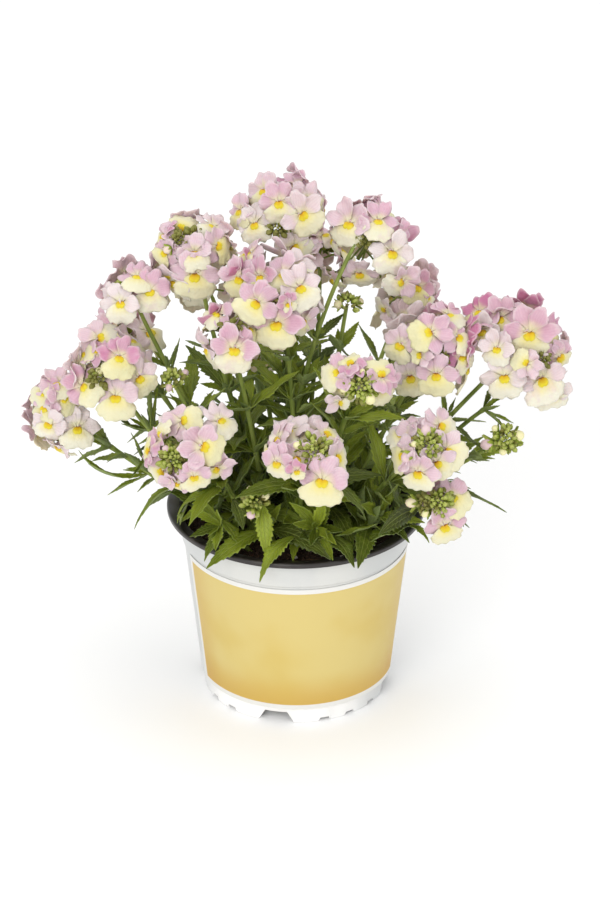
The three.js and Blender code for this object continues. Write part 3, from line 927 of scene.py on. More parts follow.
def paintStake(graph):
    look = stakeLook
    wear = graph.between(graph.noise(160, 4), 0.45, 0.75)
    colour = graph.blend(wear, look["dark"], look["worn"])
    return graph.surface(colour, 0.42 + wear * 0.2, graph.noise(2200, 2), 0.2, 0.0001)


makeStake(stakeLook, newMaterial("stake plastic", paintStake, {"Coat Weight": 0.05}))
print("stake made")

# Potting soil with crumbs and a little perlite

soilLook = {
    "bottom": 8.4, "edge": 88.5, "crown": 90.5,  # mm
    "inner": ((7.8, 98.5), (46.2, 57.4)),  # the pot's heights and radii inside
    "gap": 0.4,
    "rough": 1.1,
    "lumps": 6,  # of each sort of bits
    "rings": 22,
    "columns": 84,
    "crumbsPerArea": 130000,  # per square metre
    "perlitePerArea": 2600,
    **colours(
        dark=(50, 36, 26), brown=(84, 58, 40), fibre=(122, 92, 64), perlite=(226, 222, 212),
        dustyPerlite=(190, 182, 168),
    ),
}


def makeBits(name, seed, flat):  # a few angular lumps, about 1 m across before they are scaled
    bits = bpy.data.collections.new(name)
    dice = np.random.default_rng(seed)
    golden = (1 + 5 ** 0.5) / 2
    corners = [(a, b, 0) for a in (-1, 1) for b in (-golden, golden)]
    corners = np.array([np.roll(corner, turn) for turn in range(3) for corner in corners])
    corners = corners / np.linalg.norm(corners[0]) / 2
    for index in range(soilLook["lumps"]):
        shape = bmesh.new()
        for corner in corners * dice.uniform(0.6, 1.15, (12, 1)) * (1, 0.8, flat):
            shape.verts.new(corner)
        hull = bmesh.ops.convex_hull(shape, input=shape.verts)
        spare = hull["geom_interior"] + hull["geom_unused"]
        spare = {item for item in spare if isinstance(item, bmesh.types.BMVert)}
        bmesh.ops.delete(shape, geom=list(spare), context="VERTS")
        lump = bpy.data.meshes.new(name)
        shape.to_mesh(lump)
        shape.free()
        bits.objects.link(bpy.data.objects.new(f"{name}{index}", lump))
    return bits


def dropForms(collection):  # once their copies are made
    for thing in list(collection.objects):
        bpy.data.objects.remove(thing)
    bpy.data.collections.remove(collection)


def makeSoil(look, soilMaterial, perliteMaterial):
    dice = np.random.default_rng(7)

    def radiusAt(height):
        (low, high), (narrow, wide) = look["inner"]
        return narrow + (wide - narrow) * ((height - low) / (high - low)) - look["gap"]

    turns = np.arange(look["columns"]) * 2 * math.pi / look["columns"]
    rings = [(radiusAt(look["bottom"]), look["bottom"], 0), (radiusAt(look["edge"]), look["edge"] - 1, 0)]
    for share in np.linspace(0.985, 0.02, look["rings"]):
        height = look["edge"] + (look["crown"] - look["edge"]) * (1 - share ** 3)
        rings.append((radiusAt(look["edge"]) * share, height, 1))
    points = []
    for radius, height, top in rings:
        x, y = radius * np.sin(turns), -radius * np.cos(turns)
        lumps = np.sin(x * 0.45 + 1) * np.sin(y * 0.4) * 0.7 + dice.normal(0, 0.35, len(turns))
        points.append(np.stack([x, y, height + top * look["rough"] * lumps], -1))
    count, rows = len(turns), len(rings)
    faces = gridFaces(rows, count, True).tolist() + capFaces(rows, count)
    ends = np.array([(0, 0, look["bottom"]), (0, 0, look["crown"])])
    bed = newObject("soil_bed", np.concatenate([*points, ends]), faces, material=soilMaterial)
    marks = bed.data.attributes.new("top", "BOOLEAN", "FACE")
    middles = [face.center.z > (look["edge"] - 2) * mm for face in bed.data.polygons]
    marks.data.foreach_set("value", middles)
    made = [bed]
    scatter = scatterTree(look["lumps"])
    batches = [
        ("crumbs", 3, 0.75, look["crumbsPerArea"], 1.0, 3.4, soilMaterial),
        ("perlite", 5, 0.9, look["perlitePerArea"], 1.4, 3.0, perliteMaterial),
    ]
    for name, seed, flat, density, smallest, largest, material in batches:
        bits = makeBits(name, seed, flat)
        ground = bpy.data.objects.new(name, bed.data.copy())
        bpy.context.scene.collection.objects.link(ground)
        sizes = {"Smallest": smallest * mm, "Largest": largest * mm}
        inputs = {"Bits": bits, "Density": density, "Seed": seed, "Material": material, **sizes}
        made.append(throughTree(name, ground, scatter, inputs))
        dropForms(bits)
    made[1].data.set_sharp_from_angle(angle=math.radians(60))
    declare(joined("soil_bed", made), "soil", "soil")


def paintSoil(graph):
    look = soilLook
    grain = graph.noise(700, 6)
    patch = graph.noise(90, 4)
    fibres = graph.noise(260, 4, (1, 6, 1))
    colour = graph.blend(graph.between(grain, 0.4, 0.68), look["dark"], look["brown"])
    fibrous = graph.between(fibres, 0.6, 0.72) * graph.between(patch, 0.4, 0.6)
    colour = graph.blend(fibrous, colour, look["fibre"])
    return graph.surface(colour, 0.82 + grain * 0.15, grain + patch, 0.7, 0.0009)


def paintPerlite(graph):
    grain = graph.noise(900, 4)
    colour = graph.blend(grain, soilLook["perlite"], soilLook["dustyPerlite"])
    return graph.surface(colour, 0.75 + grain * 0.2, grain, 0.5, 0.0005)


soilBrown = newMaterial("potting soil", paintSoil, {})
makeSoil(soilLook, soilBrown, newMaterial("perlite", paintPerlite, {}))
print("soil made")

# Stems and leaves

leafLook = {
    "outline": (  # places along the leaf, and shares of its half width there
        [0, 0.05, 0.14, 0.26, 0.38, 0.48, 0.62, 0.76, 0.88, 1],
        [0.16, 0.2, 0.5, 0.85, 0.99, 1, 0.86, 0.6, 0.33, 0.03],
    ),
    "teeth": 9,
    "smallTeeth": 5,
    "toothDepth": 0.2,  # share of the half width
    "thick": 0.42,  # mm
    "fold": 1.1,  # mm, of the middle below the edges
    "wave": 0.9,
    "wider": 0.7,
    "slimmer": 0.58,  # on stems that lean far out
    "farOut": 56,  # mm from the middle
    "sideLeaves": [(0.5, 48, 34), (0.42, 58, -38), (0.3, 66, 6)],  # share of the pair's length, rise, turn
    "extra": {  # leaves between the pairs; mm, and shares of the stem
        "first": 20, "step": 12, "last": 0.64, "longest": 40, "shortest": 20, "fromPairs": 4,
        "fromFlowers": 4, "wallRadius": 52, "wallTop": 107,
        "bare": {"06": 0.6, "07": 0.5, "08": 0.5},  # stems without them further up
    },
    "frontLeaves": {  # base and tip in mm, rise in degrees, width as a share, and youth
        "13": [
            ((-36, -30, 122), (-59, -26, 103.5), 8, 0.95, 0.9),
            ((-31, -40, 125), (-25, -51, 114), -20, 1.5, 0.3),
        ],
        "14": [((8, -52, 144), (34, -62, 124), 0, 0.9, 0.8)],
        "16": [
            ((56, -36, 108), (31.5, -56, 106), 16, 1.15, 0.1),
            ((56, -36, 108), (66, -46, 103.5), 20, 1.3, 0.2),
        ],
        "23": [((-16.5, -46, 126), (-15, -58, 102.5), -42, 1.25, 0.35)],
        "27": [
            ((-0.5, -47, 108), (-17.5, -69, 94), 14, 0.95, 0.15),
            ((16.7, -46, 107), (29.7, -66, 101), 18, 1.3, 0.3),
            ((17.5, -46, 107), (40.5, -50, 117), 24, 0.6, 0.3),
            ((16.7, -47, 110), (5.5, -56, 104.5), 5, 0.8, 1),
        ],
        "30": [((-36.5, -42, 114), (-27.5, -50, 103.5), -10, 1.4, 0.9)],
    },
    "hanging": {  # of a stem's leaves, by number: tip in mm, rise in degrees, width as a share
        "01": {3: ((-83.5, -5, 97.3), 0, 0.6)},
        "02": {4: ((-87, -5, 129), 0, 0.8)},
        "16": {3: ((86, -20, 97.3), 10, 0.9)},
        "21": {3: ((-83, 24.8, 116.6), 0, 0.7)},
        "26": {3: ((-80.5, -32, 103.7), -5, 0.6)},
        "29": {3: ((91, 14.5, 116.4), 0, 0.7)},
    },
    **colours(
        dark=(54, 62, 10), green=(88, 103, 14), light=(138, 152, 38), vein=(164, 176, 90),
        under=(128, 142, 88), stemDark=(96, 112, 38), stemLight=(150, 163, 80),
    ),
}
leaning = {  # stems in front of their heads: the last three of their curve's four points
    "08": [(-5.5, -1.1, 142.8), (8, -3, 203.2), (29, 8.9, 240.5)],
}
stemLook = {"radius": 1.4, "topRadius": 1.0, "points": 30, "sides": 10, "knee": 0.35}


def leafEdge(look, teeth, dice):
    # Places along the leaf and shares of the half width, out to each tooth and then a step in
    depth = look["toothDepth"]
    places = [0, 0.06]
    cuts = [1, 1]
    for tooth in range(teeth):
        peak = 0.12 + 0.8 * (tooth + 0.55 + dice.uniform(-0.14, 0.14)) / teeth
        places += [peak, peak + 0.014]
        cuts += [1 + depth * 0.3, 1 - depth * dice.uniform(0.75, 1.1)]
    places += [0.965, 1]
    cuts += [1, 1]
    return np.array(places), np.interp(places, *look["outline"]) * cuts


def addLeaf(sheet, shape, dice, youth, fine=True, wider=1):
    look = leafLook
    curve, wide = leafCurve(*shape)
    length = shape[-1]
    small = length < growth["smallUnder"]
    places, shares = leafEdge(look, look["smallTeeth" if small else "teeth"], dice)
    half = (growth["slimness"] * length + growth["baseWidth"]) * look["wider"] * wider
    half = half * dice.uniform(0.92, 1.08)
    if abs(curve[1][0]) > look["farOut"]:
        half = half * look["slimmer"]
    coarse = small or not fine
    across = np.array((-1, -0.55, 0, 0.55, 1) if coarse else (-1, -0.68, -0.34, 0, 0.34, 0.68, 1))
    twist = dice.uniform(-0.5, 0.5) * places ** 1.5
    middle = curvePoint(curve, places)
    ahead = curveWay(curve, places)
    above = -np.cross(wide, ahead)
    side = wide * np.cos(twist)[:, None] + above * np.sin(twist)[:, None]
    top = np.cross(ahead, side)
    bend = dice.uniform(-0.07, 0.07) * length * places ** 2
    fold = look["fold"] * min(1, length / 24) * dice.uniform(0.6, 1.5) * np.minimum(1, shares * 1.6)
    waves = [
        look["wave"] * min(1, length / 30) * np.sin(places * dice.uniform(8, 15) + dice.uniform(0, 6))
        for _ in range(2)
    ]
    height = -fold[:, None] * (1 - np.abs(across)) ** 0.8
    wave = np.where(across > 0, waves[0][:, None], waves[1][:, None])
    height = height + wave * np.abs(across) ** 2.5 * shares[:, None]
    spread = across * (shares * half)[:, None] + bend[:, None]
    grid = middle[:, None] + side[:, None] * spread[..., None] + top[:, None] * height[..., None]
    thick = look["thick"] * np.interp(places, (0, 0.1, 0.9, 1), (1.8, 1, 0.8, 0.5))
    sheet.addSheet(grid[:, ::-1], thick, across[::-1], places[:, None], (dice.random(), youth, 0))


def reachingShape(base, tip, rise):
    # A leaf from its base to its tip that sets out at this rise and sinks as much as it must
    base, way = np.array(base, float), np.subtract(tip, base)
    level = math.hypot(way[0], way[1])
    lift, chord = math.radians(rise), math.atan2(way[2], level)
    sink = 2 * chord - lift
    droop = math.sin(lift) - math.tan(sink) * math.cos(lift)
    length = np.linalg.norm(way) / math.cos((lift - sink) / 2)
    stand = (base, np.array((0, 0, 1.0)), np.array((1.0, 0, 0)), np.array((0, 1.0, 0)))
    return stand, math.atan2(way[1], way[0]), lift, droop, length


def leanForward(plant):
    plant["curve"] = np.array([plant["curve"][0], *leaning[plant["name"]]])
    for leaf in plant["leaves"]:
        leaf["stand"] = stemFrame(plant, leaf["place"])
        if leaf["leaf"]:
            leaf["leaf"] = (leaf["stand"], *leaf["leaf"][1:])


def isClear(shape):
    # Whether a leaf keeps off the flowers, the pot's wall and the edge of the part's box
    look = leafLook["extra"]
    points = curvePoint(leafCurve(*shape)[0], np.linspace(0.25, 1, 5))
    for other in plants:
        reach = other["reach"] + look["fromFlowers"]
        if other["flowers"] and np.linalg.norm(points - other["at"], axis=1).min() < reach:
            return False
    radius = np.hypot(points[:, 0], points[:, 1])
    inWall = (radius > look["wallRadius"]) & (points[:, 2] < look["wallTop"])
    low, high = np.array(cadBox) / mm
    return not inWall.any() and (points > low).all() and (points < high).all()


def extraLeaves(plant, dice):
    # Leaves along the stem between its pairs
    look = leafLook["extra"]
    length = curveLength(plant["curve"])
    shapes = []
    for index, way in enumerate(np.arange(look["first"], look["last"] * length, look["step"])):
        place = way / length
        if place > look["bare"].get(plant["name"], 1):
            continue
        if min(abs(leaf["place"] - place) for leaf in plant["leaves"]) * length < look["fromPairs"]:
            continue
        stand = stemFrame(plant, place)
        for hand in (0, 1):
            turn = plant["first"] + (index + 2 * hand + 0.5) * math.pi / 2 + dice.uniform(-0.5, 0.5)
            size = look["longest"] + (look["shortest"] - look["longest"]) * place
            size = size * dice.uniform(0.65, 1.1)
            shape = (stand, turn, math.radians(dice.uniform(12, 60)), dice.uniform(0.2, 0.9), size)
            if isClear(shape):
                shapes.append((shape, min(1, place + dice.uniform(0, 0.3))))
    return shapes


def stemPath(plant):
    # Points up the stem with its girth, wider at the leaves' knees
    look = stemLook
    t = np.linspace(0, 1, look["points"])
    girth = look["radius"] + (look["topRadius"] - look["radius"]) * t
    for leaf in plant["leaves"]:
        girth = girth + look["knee"] * np.exp(-(((t - leaf["place"]) / 0.018) ** 2)) / 2
    return curvePoint(plant["curve"], t), girth


def makeTubes(name, paths, sides, material):
    points = np.concatenate([path for path, _ in paths])
    edges, start = [], 0
    for path, _ in paths:
        edges += [(start + k, start + k + 1) for k in range(len(path) - 1)]
        start += len(path)
    girth = np.concatenate([girth for _, girth in paths]) * mm
    source = newObject(name, points, (), edges, {"girth": ("FLOAT", girth)})
    return throughTree(name, source, tubes, {"Sides": sides, "Material": material})


def makeFoliage(plant, leafMaterial, stemMaterial):
    dice = random.Random(f"leaves {plant['name']}")
    sheet = SheetMesh()
    hanging = leafLook["hanging"].get(plant["name"], {})
    for number, leaf in enumerate(plant["leaves"]):
        youth = min(1, leaf["pair"] * 0.22 + dice.uniform(0, 0.25))
        if number in hanging:
            tip, rise, wider = hanging[number]
            addLeaf(sheet, reachingShape(leaf["stand"][0], tip, rise), dice, 0, True, wider)
        elif leaf["leaf"]:
            addLeaf(sheet, leaf["leaf"], dice, youth)
        longest = growth["pairs"][min(leaf["pair"], 3)][0]
        for share, rise, turn in leafLook["sideLeaves"]:
            turned = leaf["quarter"] + math.radians(turn + dice.uniform(-14, 14))
            lift = math.radians(rise + dice.uniform(-14, 14))
            droop = dice.uniform(0.1, 0.5)
            shape = (leaf["stand"], turned, lift, droop, longest * share * dice.uniform(0.75, 1.3))
            if isClear(shape):
                addLeaf(sheet, shape, dice, min(1, youth + 0.3), False)
    for shape, youth in extraLeaves(plant, dice):
        addLeaf(sheet, shape, dice, youth, False)
    paths = [stemPath(plant)]
    for base, tip, rise, wider, youth in leafLook["frontLeaves"].get(plant["name"], []):
        addLeaf(sheet, reachingShape(base, tip, rise), dice, youth, True, wider)
        nearest = paths[0][0][np.linalg.norm(paths[0][0] - base, axis=1).argmin()]
        twig = np.array([nearest, (nearest + base) / 2 - (0, 0, 1), base])
        paths.append((curvePoint(twig, np.linspace(0, 1, 5)), np.array([0.9, 0.8, 0.7, 0.7, 0.8])))
    leaves = sheet.build("leaves", leafMaterial)
    stem = makeTubes("stem", paths, stemLook["sides"], stemMaterial)
    return [leaves, stem]


def paintLeaf(graph):
    look = leafLook
    across, along, under = graph.parts("spot")
    chance, youth, _ = graph.parts("mark")
    side = graph.maths("ABSOLUTE", across)
    midrib = 1 - graph.between(side, 0.02, 0.09)
    rib = 1 - graph.between(graph.maths("ABSOLUTE", side - 0.47), 0.02, 0.07)
    rib = rib * graph.between(along, 0.95, 0.75)
    slant = graph.maths("FRACT", along * 9 - side * 1.6)
    branch = 1 - graph.between(graph.maths("ABSOLUTE", slant - 0.5), 0.03, 0.14)
    veins = graph.maths("MAXIMUM", graph.maths("MAXIMUM", midrib, rib * 0.8), branch * 0.35)
    cloud = graph.noise(140, 3)
    depth = graph.between(cloud * 0.5 + chance * 0.7 + youth * 0.25, 0.1, 1.0)
    colour = graph.ramp(depth, (0, look["dark"]), (0.5, look["green"]), (1, look["light"]))
    colour = graph.blend(veins * 0.45, colour, look["vein"])
    colour = graph.blend(under * 0.75, colour, look["under"])
    pores = graph.noise(1900, 2)
    relief = pores * 0.3 + cloud * 0.6 - veins * (1 - under * 2)
    return graph.surface(colour, 0.4 + cloud * 0.14 + under * 0.12, relief, 0.8, 0.0006)


def paintStem(graph):
    look = leafLook
    streaks = graph.noise(240, 4, (1, 1, 0.15))
    patch = graph.noise(40, 2)
    colour = graph.blend(graph.between(streaks + patch, 0.7, 1.3), look["stemDark"], look["stemLight"])
    return graph.surface(colour, 0.45 + streaks * 0.2, streaks, 0.5, 0.0005)


soft = {"Subsurface Weight": 0.12, "Subsurface Radius": (0.4, 0.8, 0.2), "Subsurface Scale": 0.0012}
leafGreen = newMaterial("leaf green", paintLeaf, {**soft, "Specular IOR Level": 0.4})
stemGreen = newMaterial("stem green", paintStem, {**soft, "Specular IOR Level": 0.4})

# The flowers and buds on the front of each head, from its middle and square to the camera

seenFrom = math.radians(studio["elevation"])
seenWays = np.array([  # right, up and forward
    (1, 0, 0),
    (0, math.sin(seenFrom), math.cos(seenFrom)),
    (0, -math.cos(seenFrom), math.sin(seenFrom)),
])
seenFlowers = {  # mm right and up, way of the lip in degrees, size, age, and mm further back
    "01": [
        (8, -10, -90, 1.0, 1), (-7, -7.5, -110, 0.85, 0.75), (-9, 1, -120, 0.85, 0.5),
        (2, 6, -30, 0.8, 0.3), (-2, 12, -80, 0.8, 0.35), (-9, 9, -150, 0.8, 0.3),
    ],
    "02": [
        (3.5, 6.5, -90, 0.95, 0.15), (-13.5, -7, -35, 0.95, 0.3), (2, -13, -90, 1.05, 0.5),
        (14.5, -3, -50, 0.9, 0.5), (-5.5, 19, 10, 0.9, 0.6), (10, 16, -40, 0.85, 0.6, 6),
        (-15, 10, -150, 0.85, 0.2), (-9, 12, 170, 0.7, 0.05),
    ],
    "03": [
        (8.5, 1, -90, 0.95, 0.25), (-5.5, -5, -90, 0.9, 0.9), (-9.5, -3, -120, 0.8, 0.8, 5),
        (2, 8, -90, 0.8, 0.3),
    ],
    "04": [
        (-0.5, -12, -90, 1.1, 0.35), (-0.5, -1, -80, 0.85, 0.3), (-14.5, -11, -100, 0.8, 0.5),
        (-7.5, 14, 80, 0.9, 0.3), (12, 4, -10, 0.85, 0.3), (7, 12, -110, 0.85, 0.6, 6),
        (-16, 8, -170, 0.75, 0.1), (-15, 0, -150, 0.7, 0.2),
    ],
    "05": [
        (-12, 11, -90, 0.85, 0.45), (-3, 3.5, -85, 0.95, 0.15), (-14.5, -6.5, -80, 0.9, 0.85),
        (9, -2, -50, 1.0, 0.6), (11.5, 5.5, -45, 0.9, 0.4, 4), (5, -17.5, -40, 0.9, 0.95),
        (-21.5, 0, -100, 0.8, 0.4), (7, 13.5, -90, 0.8, 0.15, 5), (18, 2, -30, 0.8, 0.8, 6),
        (0, 13, -90, 0.8, 0.1, 6),
    ],
    "06": [
        (0.5, -16, -95, 1.15, 0.3), (-10, -5, -130, 1.0, 0.25), (13, 2, -60, 1.0, 0.55),
        (13, -13, -110, 0.8, 0.4, 4), (6.5, -5, -60, 0.6, 0.1), (-18, 7, -110, 0.9, 0.25),
        (-8, 8, -90, 0.85, 0.25, 4), (4, 9, -90, 0.85, 0.35, 4), (-13.5, 19, -90, 0.85, 0.5, 8),
        (11, 12, -80, 0.9, 0.9, 6),
    ],
    "07": [
        (2, -6.5, -95, 1.05, 0.3), (-6.5, 11, -140, 0.8, 0.4), (6, 15, -90, 0.8, 0.5, 5),
        (10, 4, -40, 0.7, 0.3),
    ],
    "08": [
        (4.5, 8, -90, 0.9, 0.15), (-10.5, 6.5, -105, 1.0, 0.35), (11, -8, -95, 1.05, 0.95),
        (-4.5, -16.5, -95, 0.9, 0.5, 8), (14.5, -20, -150, 0.85, 0.5), (-18.5, -20.5, -95, 0.7, 0.6, 8),
        (-18, -0.5, -95, 0.75, 0.6, 7), (-4, 13.5, -90, 0.8, 0.3, 5), (15, 0, -60, 0.8, 0.2, 5),
        (7, 15, -90, 0.75, 0.15, 5),
    ],
    "09": [
        (-1.5, -15, -75, 0.95, 0.35), (4, 0.5, -100, 0.85, 0.25), (10, -4, -60, 0.7, 0.5),
        (-11.5, -8, 180, 0.7, 0.9),
    ],
    "10": [
        (2.5, -14.5, -90, 0.95, 0.35), (-9.5, -15.5, -85, 0.95, 0.5, 4), (-2, 6.5, -160, 0.95, 0.2),
        (-15.5, 0, -120, 0.9, 0.6), (-6.5, -4.5, -170, 0.65, 0.4), (14, 4, -30, 0.85, 0.1),
        (15, -5, -50, 0.8, 0.05, 3), (9, 14, -60, 0.8, 0.3, 4),
    ],
    "11": [
        (-19.5, 18, -90, 0.9, 0), (-18, 8, -90, 0.9, 0.95), (5.5, 6, -90, 1.15, 0.35),
        (-10.5, -1, -100, 0.8, 0.8), (-6.5, -15, -85, 1.0, 1), (12, -16.5, -70, 1.15, 0.55, -1.5),
        (3, -6.5, 150, 0.7, 0.4), (22, -4.5, -40, 0.9, 0.3), (-8.5, 14, -90, 0.95, 0.25, 4),
        (17, -22.5, -75, 1.0, 0.9, 5), (18, 8, -60, 0.8, 0.2, 4),
    ],
    "12": [
        (-10.5, 4.5, -160, 0.9, 0.25), (-8, -10.5, -20, 0.65, 0.5), (11.5, 4.5, 90, 0.85, 0.35),
        (13, -3, -60, 0.85, 0.3, 3), (-3, 9, 110, 0.7, 0.1, 3), (-7, -3, -120, 0.75, 0.3, 5),
        (4, 3, -90, 0.8, 0.4, 8), (-12, 8, 180, 0.7, 0.2, 3),
    ],
    "13": [
        (6.5, 0.5, -20, 1.0, 0.3), (-3.5, 14.5, 5, 0.9, 0.35), (14, 12.5, -45, 0.85, 0.8),
        (-15, 7, 75, 0.8, 0.25), (1, -13.5, -80, 0.8, 0.35), (12, -11.5, -110, 0.85, 0.45, 2),
        (-16.5, -12, -150, 0.85, 0.2), (-20.5, -1, 170, 0.75, 0.15, 2), (-8, -17, -110, 0.75, 0.2),
    ],
    "14": [
        (8, -10.5, -95, 1.15, 0.35, -2.5), (-13, -1.5, -100, 0.85, 0.35), (-3.5, -5, -80, 0.6, 0.2),
        (-14, 10.5, -125, 0.85, 0.35, 2), (-8, 14, -100, 0.9, 0.8, 6), (3, 14, -90, 0.9, 0.6, 8),
        (16, 1.5, 0, 0.85, 0.35), (11, 13, 30, 0.85, 0.5, 4), (-17, 4, 180, 0.8, 0.3, 4),
        (-4, 1, -110, 0.8, 0.3, 6),
    ],
    "15": [
        (-2.5, -10.5, -95, 0.95, 0.35), (9, 13, -10, 0.9, 0.4, 2), (12.5, 1, -30, 0.95, 0.45, 2),
        (-6, 9, -100, 0.9, 0.3, 7), (-12, 10, -160, 0.85, 0.4, 4), (3, 11, -90, 0.85, 0.3, 9),
        (-10, -1, -160, 0.85, 0.3, 6), (7, -5, -60, 0.9, 0.5, 5),
    ],
    "16": [(3.5, -10.5, -75, 0.95, 0.4), (2, 5, -60, 0.9, 0.1, 7), (7, 4, -40, 0.9, 0.2, 5)],
    "17": [],
}
seenBuds = {  # mm right and up: green clusters with their radius, and buds with their width and pinkness
    "02": ([(-6, -1, 3.6)], [(-6, 1.5, 4, 0)]),
    "04": ([(-7.5, 7, 3), (-1, 9, 2.4)], [(-14, 2, 4, 0.6)]),
    "05": ([(-4.5, -7, 2.6)], []),
    "06": ([(0.5, -1, 3)], []),
    "07": ([(1, 5, 3.6)], []),
    "08": ([(-2, 0.5, 3.8)], []),
    "10": ([(3.5, -3.5, 3)], []),
    "11": ([(-3.5, 2, 2.6), (11.5, -5, 2.8)], []),
    "12": ([(1.5, -1.5, 5.2)], [(-6.5, -3, 4.2, 0), (6.5, -8, 5.6, 0.2), (2.5, 5.5, 3.4, 0)]),
    "13": ([(-9.5, -5, 4.1)], [(-13, 0, 3.6, 1)]),
    "14": ([(4.5, 5, 5.4)], [(-4, 8, 4, 0.1), (4.5, 9, 3.8, 0)]),
    "15": ([(2, 4.5, 5)], [(-8.5, -1.5, 5.6, 0.9), (1, 12, 5.6, 0.8), (-4.5, 5, 3.8, 0)]),
    "16": ([(0, 3.5, 4.1), (-8, 2, 2.8)], [(-14, 3, 5.6, 0.5), (-7, -2.5, 4, 0)]),
    "17": ([(0.5, 0, 4.4)], [(-9.5, -3, 6, 0.9), (7, 1.5, 5.6, 0), (-1, -6.5, 4, 0), (-5, 5, 3.6, 0)]),
}

# Flowers: four petals above, a broad lip with a yellow boss below, and a short tube behind

flowerLook = {
    "kinds": [  # mm, degrees: lip's width, length, droop, notch; petals' length, width, bend; turns
        (19.0, 12.8, 1.6, 0.05, 10.6, 10.0, 1.6, 20, 78),
        (17.6, 12.2, 2.6, 0.16, 10.4, 9.6, 0.6, 21, 88),
        (16.4, 11.8, 3.8, 0.07, 10.4, 9.4, 2.8, 18, 72),
        (17.4, 12.4, 3.0, 0.03, 11.0, 9.8, -1.2, 22, 82),
        (12.4, 8.8, 0.8, 0.06, 9.6, 8.4, -3.4, 17, 60),  # young
        (17.2, 12.8, 4.8, 0.1, 10.6, 9.8, 4.6, 23, 94),  # old
    ],
    "petalThick": 0.26,  # mm
    "lipThick": 0.3,
    "ruffle": 0.85,
    "bossWidth": 6.2,
    "bossLength": 5.6,
    "bossHeight": 2.0,
    "neck": [  # heights, radii and drops of its rings
        (0.9, 0.6, -1.6, -3.6, -5.2, -5.8), (0.4, 2.3, 2.0, 1.5, 1.0, 0.3), (0, 0, 0.2, 0.5, 0.9, 1.1),
    ],
    "upPetals": (1.06, 0.92),  # length and width, as shares of the kind's
    "sidePetals": (0.98, 1.0),
    "roll": (20, 30),  # degrees, at most either way; in other heads, and in those that face out
    "nod": (14, 22),
    "upright": (0.3, 0.9, 55),  # shares and degrees of the roll that stands a flower up
    "adrift": (0.8, 2.2),  # mm, to or from the head's axis
    "sizes": (0.9, 1.18),
    "faceOn": ((0.8, 1.0), (0.7, 0.25)),  # sizes, and how much flowers of that size face outwards
    "shaken": (15, 15),  # degrees, of the front's own flowers
    "forward": (-1.2, 2.4),  # mm
    "behind": (0.15, -0.2),  # shares of the head's reach, from where the part's own flowers stay
    "twins": 3,  # of each kind
    "sides": (42, 0.42),  # how flowers face from the axis: degrees, and share of their place's angle
    "front": (4, 0.46),  # in heads that face outwards
    "obey": 0.85,
    "inward": (1.2, 3.0, 1.8),  # mm, in heads that face out: all, the youngest more, and those forward
    "fresh": {  # count and degrees from the tip
        "sides": (2, 12, 28), "front": (1, 40, 52), "reach": 0.9, "size": 0.84,
    },
    **colours(
        magenta=(186, 112, 148), young=(202, 158, 176), pink=(212, 184, 193), pale=(222, 210, 207),
        deep=(177, 125, 148), lemon=(218, 212, 168), cream=(225, 220, 202), flush=(222, 204, 104),
        yellow=(218, 198, 36), orange=(212, 166, 10), throat=(146, 84, 20), tube=(214, 186, 188),
    ),
}


def discGrid(rows, columns):  # a square net laid over a round disc
    v, u = np.meshgrid(np.linspace(-1, 1, rows), np.linspace(-1, 1, columns), indexing="ij")
    return u * np.sqrt(1 - v * v / 2), v * np.sqrt(1 - u * u / 2)


def addPetal(sheet, look, turn, length, width, back, front, dice):
    across, along = discGrid(8, 8)
    share = (along + 1) / 2
    rim = np.hypot(across, along)
    bearing = np.arctan2(across, along)
    width = width * dice.uniform(0.9, 1.12)
    length = length * dice.uniform(0.9, 1.06)
    lobes = 0.05 * np.sin(3 * bearing + dice.uniform(0, 6))
    lobes = lobes + 0.03 * np.sin(7 * bearing + dice.uniform(0, 6))
    edge = 1 + rim ** 4 * lobes
    point = dice.uniform(-0.3, 1) * 0.12 * np.exp(-((bearing / 0.5) ** 2)) * rim ** 4
    x = across * width / 2 * (0.36 + 0.64 * smooth(share / 0.62)) * edge
    y = 0.6 + share * length * (edge + point)
    curl = dice.uniform(-1.8, 2.2)
    z = front + 0.9 * share - back * share ** 2 * dice.uniform(0.4, 1.6)
    z = z - curl * across ** 2 * (0.4 + share)
    z = z + share * length * dice.uniform(-0.22, 0.42)
    z = z + look["ruffle"] * rim ** 3 * np.sin(dice.choice((3, 4, 5)) * bearing + dice.uniform(0, 6)) * 1.1
    z = z + across * share * dice.uniform(-2.2, 2.2) - 0.5 * np.exp(-((across / 0.3) ** 2)) * share
    angle = -math.radians(turn + dice.uniform(-6, 6))
    grid = np.stack([
        x * math.cos(angle) - y * math.sin(angle),
        x * math.sin(angle) + y * math.cos(angle) - 0.4,
        z,
    ], -1)
    sheet.addSheet(grid, look["petalThick"], across, share, (0, 0, dice.random()))


